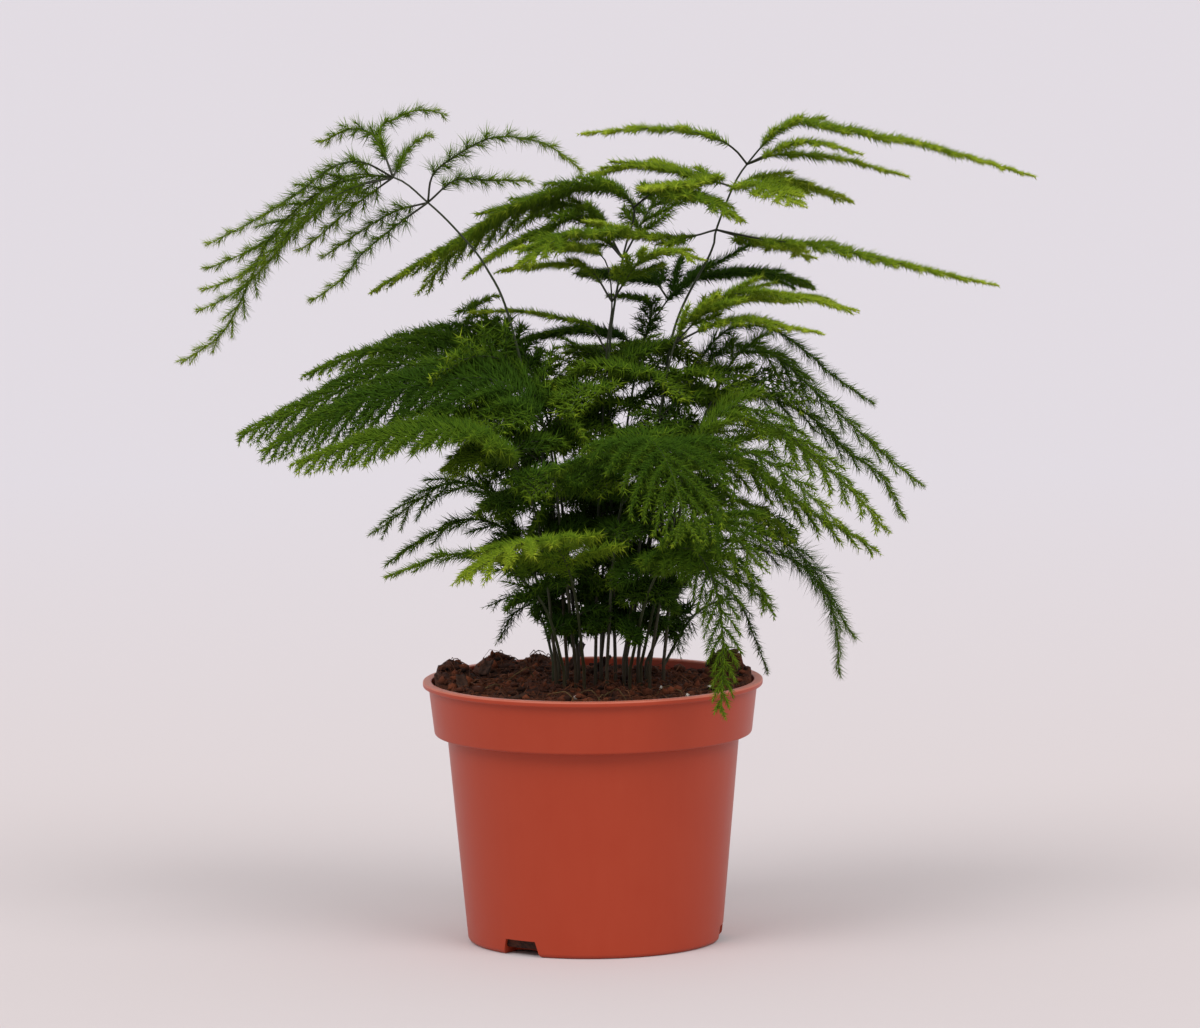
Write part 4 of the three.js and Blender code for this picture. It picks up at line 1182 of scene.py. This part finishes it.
def needle_finish():
    """Leaflets from deep old green to pale young yellow-green, a little lighter at the tip."""
    leaf = Finish("needle_leaflets", Roughness=0.75, Specular_IOR_Level=0.08)
    across, up = map_place(leaf)
    tint = share_between(across, *NEEDLE_MAP) + (up - 0.5) * NEEDLE_TIP_PALER
    leaf.set(Base_Color=leaf.ramp(tint, *NEEDLE_STOPS))
    return leaf.material


# Fronds. Each frond is one piece: a stem, its arms, and the short, dark, coarse sprays
# that the stem bears low down in the shade, each turned on from the one below, and
# painted darker the lower it stands, as painted shade. It takes the place of the CAD's
# solid of its name, with the same stem, arms and outline.
ARM_BARE = 0.16
INNER_RADII = (0.34, 0.14)
INNER_BARE = 0.12
INNER_LOWEST = 112
INNER_HIGHEST = 202
INNER_UNEVEN = 6
INNER_GAP = 10.4
INNER_ABOVE = 3
INNER_TURN = 137.5
INNER_LENGTH = (8, 0.34)
INNER_REACH = 0.42
INNER_RISE = ((0, 0), (0.3, 0.18), (0.65, 0.2), (1, 0.02))
INNER_DRAWS = (60, 2)
# The inner sprays' ages from the lowest to the highest: the low ones older and darker, as painted
# shade.
PAINTED_SHADE_AGES = (1.0, 0.55)
SHADE_TUFTS = {"gap": 2.4, "twig_gap": 2.8, "length": 5.6, "width": 0.72, "lean": 1.0}
FROND_SEEDS = 10
AXIS_SEEDS = 3
PLAIN_FROND = {"shoots": 4, "lush": 1, "twigs": True, "tufts": {}, "arms": ()}
NEEDLE, WOOD = 0, 1
FOLIAGE = [needle_finish(), wood_finish()]


def leafy_axis(axis, frond, seed, random):
    """One leafy axis: its shoots, their twigs and the needles on all of them."""
    route, bare, tufts = axis["route"], axis["bare"], axis["tufts"]
    shoots, normals = grow_shoots(axis, frond, seed)
    twigs = grow_twigs(shoots, normals, frond["droop"], axis["twiggy"], random)
    count = len(shoots["place"])
    spans = {
        **shoots,
        "lengths": np.full(count, route.length * (1 - bare) / count),
        "curves": route.pieces(bare, count),
    }
    gap, twig_gap = tufts["gap"] / frond["lush"], tufts["twig_gap"] / frond["lush"]
    return [
        (*shoot_tubes(shoots["curves"]), WOOD),
        (*twig_spikes(twigs["curves"]), WOOD),
        (*needles(twigs, twig_gap, tufts, random), NEEDLE),
        (*needles(shoots, gap, tufts, random), NEEDLE),
        (*needles(spans, gap, tufts, random), NEEDLE),
    ]


def inner_arms(frond, stem):
    """The points of the short sprays low on the stem, longer the higher they are."""
    turn_draw, height_draw = INNER_DRAWS
    turn = wobble(frond["seed"] + turn_draw, 1) * math.pi
    lowest = INNER_LOWEST + INNER_UNEVEN * wobble(frond["seed"], height_draw)
    highest = min(stem.at(frond["bare"])[2] + INNER_ABOVE, INNER_HIGHEST)
    least, more = INNER_LENGTH
    arms = []
    for height in np.arange(lowest, highest, INNER_GAP):
        turn += math.radians(INNER_TURN)
        out = np.array([math.cos(turn), math.sin(turn), 0])
        length = least + more * (height - INNER_LOWEST)
        root = stem.at(stem.place_at_height(height))
        arms.append([root + out * length * run + (0, 0, length * rise) for run, rise in INNER_RISE])
    return arms


def arm(at, reach, *route):
    """An arm: the number of the stem's point that it leaves, its shoots' reach, its points."""
    return {"at": at, "reach": reach, "route": route}


def grow_frond(name, **given):
    """A frond from its stem's points, in millimetres, with its habit:
    age from 0, young and pale, to 1, old and dark; droop, how far its shoots sag for their
    length; roll, how its plane is tipped, in degrees; bare, the share of its stem that has
    no shoots; reach, its shoots' length; shoots, how many to a step; lush, how close its
    tufts are; twigs, whether its shoots bear any; tufts, what is not as in FINE_TUFTS.
    """
    frond = {**PLAIN_FROND, **given}
    random = np.random.default_rng(frond["seed"])
    stem = Route(frond["stem"])
    tufts = {**FINE_TUFTS, **frond["tufts"]}
    habit = {"age": frond["age"], "tufts": tufts, "twiggy": frond["twigs"]}
    axes = [{"route": stem, "bare": frond["bare"], "reach": frond["reach"], **habit}]
    parts = [(*grow_stem(stem, STEM_RADII, STEM_TONES, STEM_FOOT), WOOD)]
    for side in frond["arms"]:
        route = Route([frond["stem"][side["at"]], *side["route"]])
        parts.append((*grow_stem(route, ARM_RADII, ARM_TONES), WOOD))
        axes.append({"route": route, "bare": ARM_BARE, "reach": side["reach"], **habit})
    for knots in inner_arms(frond, stem):
        route = Route(knots)
        parts.append((*grow_stem(route, INNER_RADII, ARM_TONES), WOOD))
        # Painted shade: the lower an inner spray stands, the older and darker its tint.
        age = np.interp(knots[0][2], (INNER_LOWEST, INNER_HIGHEST), PAINTED_SHADE_AGES)
        shade = {"age": age, "tufts": SHADE_TUFTS, "twiggy": True}
        reach = route.length * INNER_REACH
        axes.append({"route": route, "bare": INNER_BARE, "reach": reach, **shade})
    for index, axis in enumerate(axes):
        seed = frond["seed"] * FROND_SEEDS + index * AXIS_SEEDS
        parts += leafy_axis(axis, frond, seed, random)
    points, triangles = joined([part[:2] for part in parts])
    spots = np.vstack([part[2] for part in parts])
    kinds = np.concatenate([np.full(len(part[1]), part[3]) for part in parts])
    piece = facets(name.replace("frond", "spray"), points, triangles, FOLIAGE, spots, kinds)
    piece.data.shade_smooth()
    on_root(piece)
    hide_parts(name)


# High fronds. The tallest shoots of the clump: bare wiry stems that part near the top into
# flat sprays, one arching over to the left, one in the middle and one, the youngest and
# palest, in long thin tiers to the right.
grow_frond(
    "frond_high_left",
    seed=1, age=0.38, droop=0.06, roll=60, bare=0.65, reach=12, twigs=False,
    tufts={"gap": 0.5, "length": 6.6, "width": 0.33},
    stem=[
        (-9, 2, 98), (-13, -2, 150), (-27, -4, 217), (-36, -6, 239), (-46, -7, 252), (-56, -8, 262),
        (-68, -9, 271), (-85, -13, 270), (-100, -16, 262), (-112, -18, 249), (-119, -20, 234),
        (-128, -21, 218), (-142, -22, 208),
    ],
    arms=[
        arm(
            6, 0, (-78, -20, 277), (-88, -24, 276), (-101, -30, 267), (-116, -34, 258),
            (-132, -36, 250),
        ),
        arm(6, 1, (-84, -1, 271), (-100, 3, 260), (-111, 5, 249), (-123, 6, 243), (-135, 7, 238)),
        arm(
            6, 0, (-83, -24, 268), (-98, -29, 259), (-112, -32, 245), (-121, -33, 239),
            (-134, -34, 234),
        ),
        arm(6, 1, (-85, 4, 266), (-101, 8, 253), (-116, 9, 237), (-126, 9, 229), (-138, 9, 223)),
        arm(6, 2, (-74, 0, 284), (-83, 7, 287), (-94, 14, 282)),
        arm(6, 0, (-73, 3, 286), (-66, 12, 291), (-58, 16, 293), (-50, 20, 291)),
        arm(6, 0, (-65, 12, 277), (-60, 18, 282), (-55, 22, 284)),
        arm(6, 2, (-76, -2, 265), (-85, 4, 258), (-94, 8, 250), (-102, 10, 244)),
        arm(5, 1, (-68, 6, 258), (-78, 12, 252), (-87, 15, 246), (-94, 18, 241)),
        arm(5, 0, (-68, 0, 253), (-80, 4, 243), (-86, 8, 235), (-98, 10, 226)),
        arm(
            5, 1, (-54, -16, 272), (-46, -22, 279), (-32, -30, 286), (-15, -36, 284),
            (-2, -40, 275),
        ),
        arm(5, 0, (-46, -10, 270), (-34, -14, 270), (-20, -18, 270)),
    ],
)
grow_frond(
    "frond_high_middle",
    seed=2, age=0.45, droop=0.12, roll=12, bare=0.61, reach=24, shoots=5,
    tufts={"length": 4.7},
    stem=[
        (8, 3, 98), (7, 6, 160), (7, 10, 208), (12, 14, 240), (16, 14, 258), (4, 8, 266),
        (-16, 8, 263), (-36, 8, 253), (-56, 4, 242), (-75, 0, 231),
    ],
    arms=[
        arm(3, 24, (1, 26, 256), (-20, 32, 257), (-39, 38, 247), (-49, 40, 239), (-59, 42, 228)),
        arm(4, 18, (24, 4, 264), (38, -12, 264), (52, -26, 257)),
        arm(3, 18, (26, 34, 262), (34, 56, 258)),
        arm(3, 24, (4, -4, 249), (-8, -20, 251), (-22, -38, 243)),
        arm(3, 15, (0, 10, 255), (-14, 6, 252), (-28, 2, 246), (-42, -2, 237)),
    ],
)
grow_frond(
    "frond_high_right",
    seed=3, age=0.22, droop=0.04, roll=2, bare=0.65, reach=14, lush=1.1,
    tufts={"length": 4.0},
    stem=[
        (16, 3, 98), (23, 8, 160), (29, 10, 212), (43, 12, 242), (45, 12, 250), (51, 12, 265),
        (56, 12, 273), (66, 9, 284), (76, 6, 288), (98, 1, 284), (123, -6, 279), (154, -14, 270),
    ],
    arms=[
        arm(6, 7, (68, 18, 276), (88, 24, 274), (113, 30, 267)),
        arm(6, 6, (72, 0, 281), (83, -6, 281), (94, -10, 278)),
        arm(6, 9, (51, 8, 279), (42, 2, 284), (23, -5, 287), (-2, -13, 286)),
        arm(5, 18, (61, 20, 268), (77, 26, 264), (92, 30, 259)),
        arm(5, 14, (59, -2, 267), (66, -18, 265), (72, -30, 262)),
        arm(5, 22, (40, 20, 268), (24, 28, 272), (3, 34, 269)),
        arm(5, 16, (43, 2, 268), (34, -10, 268), (20, -20, 267)),
        arm(4, 13, (62, 4, 247), (82, -4, 245), (106, -10, 240), (141, -16, 232)),
        arm(4, 12, (58, 26, 245), (70, 42, 241), (79, 54, 236)),
        arm(4, 16, (34, 6, 248), (18, 0, 250), (1, -8, 255)),
    ],
)
grow_frond(
    "frond_middle_tier",
    seed=4, age=0.3, droop=0.08, roll=6, bare=0.82, reach=16, lush=1.2,
    stem=[
        (1, 2, 98), (3, 2, 160), (6, 2, 208), (8, 0, 226), (5, -4, 242), (-7, -10, 246),
        (-23, -18, 247),
    ],
    arms=[
        arm(2, 4, (0, 6, 217), (-12, 9, 220), (-24, 10, 222), (-41, 10, 222)),
        arm(3, 9, (0, 4, 237), (-14, 4, 239), (-31, 4, 237)),
        arm(3, 16, (18, -10, 241), (28, -16, 245), (37, -22, 243)),
    ],
)

# Left fronds. Broad, dark, older sprays that lie in layers over the pot's left side and
# droop toward their tips.
grow_frond(
    "frond_left_upper",
    seed=5, age=0.7, droop=0.24, roll=-34, bare=0.46, reach=28, shoots=7,
    tufts={"length": 5.5, "width": 0.6},
    stem=[
        (-5, 9, 98), (-10, 12, 150), (-16, 16, 186), (-27, 20, 202), (-47, 22, 206), (-72, 22, 201),
        (-96, 20, 190), (-123, 16, 179),
    ],
    arms=[
        arm(
            2, 11, (-29, 30, 206), (-45, 34, 212), (-65, 38, 210), (-78, 41, 206), (-90, 44, 202),
            (-101, 46, 197),
        ),
        arm(2, 5, (-25, 20, 210), (-35, 28, 217), (-43, 33, 221), (-39, 38, 223), (-34, 42, 225)),
    ],
)
grow_frond(
    "frond_left_middle",
    seed=6, age=0.8, droop=0.24, roll=-30, bare=0.455, reach=29, shoots=7,
    tufts={"length": 5.5, "width": 0.6},
    stem=[
        (-6, -5, 98), (-11, -14, 150), (-16, -20, 184), (-30, -24, 200), (-53, -26, 201),
        (-82, -26, 193), (-99, -25, 185), (-113, -24, 177),
    ],
    arms=[
        arm(2, 9, (-29, -31, 194), (-37, -36, 192), (-47, -40, 189)),
    ],
)
grow_frond(
    "frond_left_front",
    seed=7, age=0.55, droop=0.18, roll=-13, bare=0.49, reach=24, shoots=7,
    tufts={"length": 5.5, "width": 0.6},
    stem=[
        (-13, -5, 98), (-17, -12, 140), (-24, -32, 168), (-38, -50, 186), (-62, -58, 187),
        (-81, -58, 183), (-101, -56, 176),
    ],
    arms=[
        arm(2, 12, (-32, -38, 179), (-40, -43, 178), (-49, -46, 173)),
    ],
)

# Right fronds. Thinner sprays in tiers to the right, from a pale level one down to
# older twigs that hang beside the pot.
grow_frond(
    "frond_right_tier",
    seed=8, age=0.25, droop=0.06, roll=1, bare=0.635, reach=25, shoots=5, lush=1.2,
    stem=[
        (11, -4, 98), (20, -6, 160), (30, -8, 212), (44, -10, 226), (56, -12, 230), (75, -14, 228),
        (91, -17, 224),
    ],
    arms=[
        arm(2, 9, (44, -14, 219), (56, -20, 221), (68, -26, 219), (80, -30, 217)),
        arm(2, 15, (43, -2, 224), (54, 4, 226), (69, 8, 225)),
    ],
)
grow_frond(
    "frond_right_back_tier",
    seed=9, age=0.85, droop=0.06, roll=3, bare=0.7, reach=34, shoots=6,
    tufts={"length": 4.6},
    stem=[
        (3, 9, 98), (10, 18, 160), (18, 26, 205), (28, 30, 224), (37, 34, 231), (55, 38, 233),
        (77, 42, 228),
    ],
    arms=[
        arm(3, 22, (23, 36, 230), (13, 44, 232), (1, 52, 232)),
        arm(2, 3, (22, 22, 222), (16, 18, 226), (8, 14, 227)),
        arm(2, 14, (11, 32, 211), (-2, 34, 213), (-14, 34, 212), (-24, 32, 210)),
    ],
)
grow_frond(
    "frond_right_long_twig",
    seed=10, age=0.8, droop=0.15, roll=-30, bare=0.56, reach=0, twigs=False,
    tufts={"gap": 0.5, "length": 7.5, "width": 0.36},
    stem=[
        (11, 10, 98), (21, 19, 150), (33, 29, 190), (47, 36, 211), (63, 40, 213), (77, 42, 204),
        (87, 42, 195), (101, 42, 185),
    ],
    arms=[
        arm(2, 5, (47, 30, 206), (58, 28, 207), (68, 25, 203), (77, 22, 196)),
    ],
)
grow_frond(
    "frond_right_outer",
    seed=11, age=0.6, droop=0.2, roll=-32, bare=0.48, reach=11, twigs=False,
    tufts={"gap": 0.6, "length": 7.2, "width": 0.4},
    stem=[
        (25, -1, 98), (31, 2, 150), (40, 5, 184), (54, 8, 208), (66, 10, 205), (78, 10, 194),
        (93, 10, 180), (105, 10, 169), (117, 10, 159),
    ],
    arms=[
        arm(
            2, 9, (51, 14, 195), (66, 18, 189), (79, 21, 182), (91, 24, 170), (103, 25, 161),
            (111, 26, 146),
        ),
    ],
)
grow_frond(
    "frond_right_front",
    seed=12, age=0.5, droop=0.22, roll=-26, bare=0.4, reach=17,
    tufts={"length": 5.4, "width": 0.5},
    stem=[
        (20, -11, 98), (27, -16, 140), (34, -21, 172), (49, -25, 191), (64, -30, 185),
        (77, -34, 175), (91, -37, 162), (102, -38, 149),
    ],
    arms=[
        arm(1, 9, (40, -26, 156), (53, -22, 157), (63, -18, 151), (70, -16, 143)),
        arm(2, 12, (52, -16, 169), (64, -12, 162), (77, -10, 152), (91, -8, 144), (100, -6, 138)),
        arm(2, 11, (48, -34, 178), (62, -42, 173), (75, -48, 163), (85, -52, 153)),
    ],
)
grow_frond(
    "frond_right_drooping",
    seed=13, age=0.7, droop=0.22, roll=-40, bare=0.42, reach=10, twigs=False,
    tufts={"gap": 0.65, "length": 9, "width": 0.31},
    stem=[
        (19, 9, 97), (32, 18, 123), (45, 26, 135), (59, 31, 140), (72, 34, 134), (82, 34, 122),
        (87, 34, 106), (88, 34, 89),
    ],
    arms=[
        arm(1, 3, (40, 14, 130), (53, 8, 125), (63, 4, 117)),
        arm(2, 4, (60, 40, 133), (75, 44, 127), (86, 46, 113), (94, 46, 100)),
    ],
)

# Front fronds. Sprays that lean out toward the viewer, with pale tips that hang, and
# one twig that trails over the pot's rim.
grow_frond(
    "frond_front",
    seed=14, age=0.75, droop=0.36, roll=0, bare=0.38, reach=50,
    tufts={"length": 4.6, "width": 0.56},
    stem=[
        (5, -12, 98), (8, -17, 140), (14, -34, 172), (20, -58, 183), (27, -82, 176),
        (33, -100, 157),
    ],
)
grow_frond(
    "frond_front_right",
    seed=15, age=0.7, droop=0.3, roll=-10, bare=0.37, reach=34,
    tufts={"length": 4.6, "width": 0.56},
    stem=[
        (17, -5, 98), (25, -21, 132), (36, -43, 152), (47, -58, 152), (57, -68, 141),
    ],
    arms=[
        arm(1, 8, (39, -34, 140), (49, -42, 139), (57, -46, 131), (62, -48, 122)),
    ],
)
grow_frond(
    "frond_front_low_left",
    seed=16, age=0.3, droop=0.2, roll=12, bare=0.36, reach=36,
    tufts={"length": 4.6, "width": 0.56},
    stem=[
        (-3, -12, 97), (-6, -26, 126), (-12, -48, 145), (-24, -70, 149), (-42, -88, 141),
    ],
)
grow_frond(
    "frond_front_hanging",
    seed=17, age=0.6, droop=0.22, roll=-40, bare=0.36, reach=14, shoots=6, twigs=False,
    tufts={"gap": 0.55, "length": 5.8},
    stem=[
        (13, -12, 97), (19, -26, 124), (27, -42, 141), (36, -56, 144), (43, -64, 131),
        (45, -68, 111), (44, -68, 90),
    ],
)

# Low fronds. Small sprays and wisps just above the soil, in the shade of the others.
# Their stems are short, and their shoots bear needles but no twigs.
grow_frond(
    "frond_low_left",
    seed=18, age=0.7, droop=0.2, roll=26, bare=0.38, reach=22, twigs=False,
    tufts={"gap": 0.75, "length": 6.2},
    stem=[
        (-12, 8, 97), (-21, 14, 130), (-34, 20, 155), (-49, 24, 160), (-61, 26, 154),
        (-69, 27, 148), (-77, 28, 142),
    ],
    arms=[
        arm(1, 10, (-28, 10, 143), (-42, 6, 149), (-54, 4, 145), (-65, 2, 139), (-72, 0, 134)),
    ],
)
grow_frond(
    "frond_low_left_front",
    seed=19, age=0.55, droop=0.14, roll=20, bare=0.36, reach=12, twigs=False,
    tufts={"gap": 0.75, "length": 6.2},
    stem=[
        (-10, -12, 97), (-17, -24, 122), (-33, -35, 139), (-49, -41, 142), (-60, -44, 139),
        (-71, -45, 135),
    ],
)
grow_frond(
    "frond_low_wisp_left",
    seed=20, age=0.8, droop=0.2, roll=30, bare=0.3, reach=5, twigs=False,
    tufts={"gap": 1.3, "length": 5, "width": 0.34},
    stem=[
        (-14, 14, 97), (-17, 18, 109), (-21, 22, 117), (-28, 26, 119), (-37, 28, 115),
    ],
    arms=[
        arm(2, 3, (-28, 22, 113), (-33, 22, 104)),
    ],
)
grow_frond(
    "frond_low_wisp_right",
    seed=21, age=0.9, droop=0.2, roll=-30, bare=0.3, reach=6, twigs=False,
    tufts={"gap": 1.0, "length": 5.4, "width": 0.36},
    stem=[
        (25, 6, 96), (36, 20, 112), (51, 33, 116), (58, 44, 101), (63, 50, 87),
    ],
    arms=[
        arm(1, 4, (32, 8, 111), (30, 2, 102)),
    ],
)

# Back fronds. Three sprays behind the clump, which give it its depth and show between
# the others. The photograph hides most of them, so their routes are plain arcs.
grow_frond(
    "frond_back",
    seed=22, age=0.55, droop=0.2, roll=0, bare=0.46, reach=44, lush=0.75,
    stem=[
        (3, 16, 98), (5, 34, 160), (7, 56, 196), (6, 82, 203), (2, 108, 188),
    ],
)
grow_frond(
    "frond_back_left",
    seed=23, age=0.8, droop=0.2, roll=15, bare=0.42, reach=38, lush=0.75,
    stem=[
        (-6, 16, 98), (-17, 36, 148), (-32, 58, 176), (-50, 78, 180), (-68, 94, 168),
    ],
)
grow_frond(
    "frond_back_right",
    seed=24, age=0.5, droop=0.2, roll=-15, bare=0.42, reach=38, lush=0.75,
    stem=[
        (12, 16, 98), (23, 36, 146), (42, 58, 174), (64, 76, 174), (84, 90, 158),
    ],
)
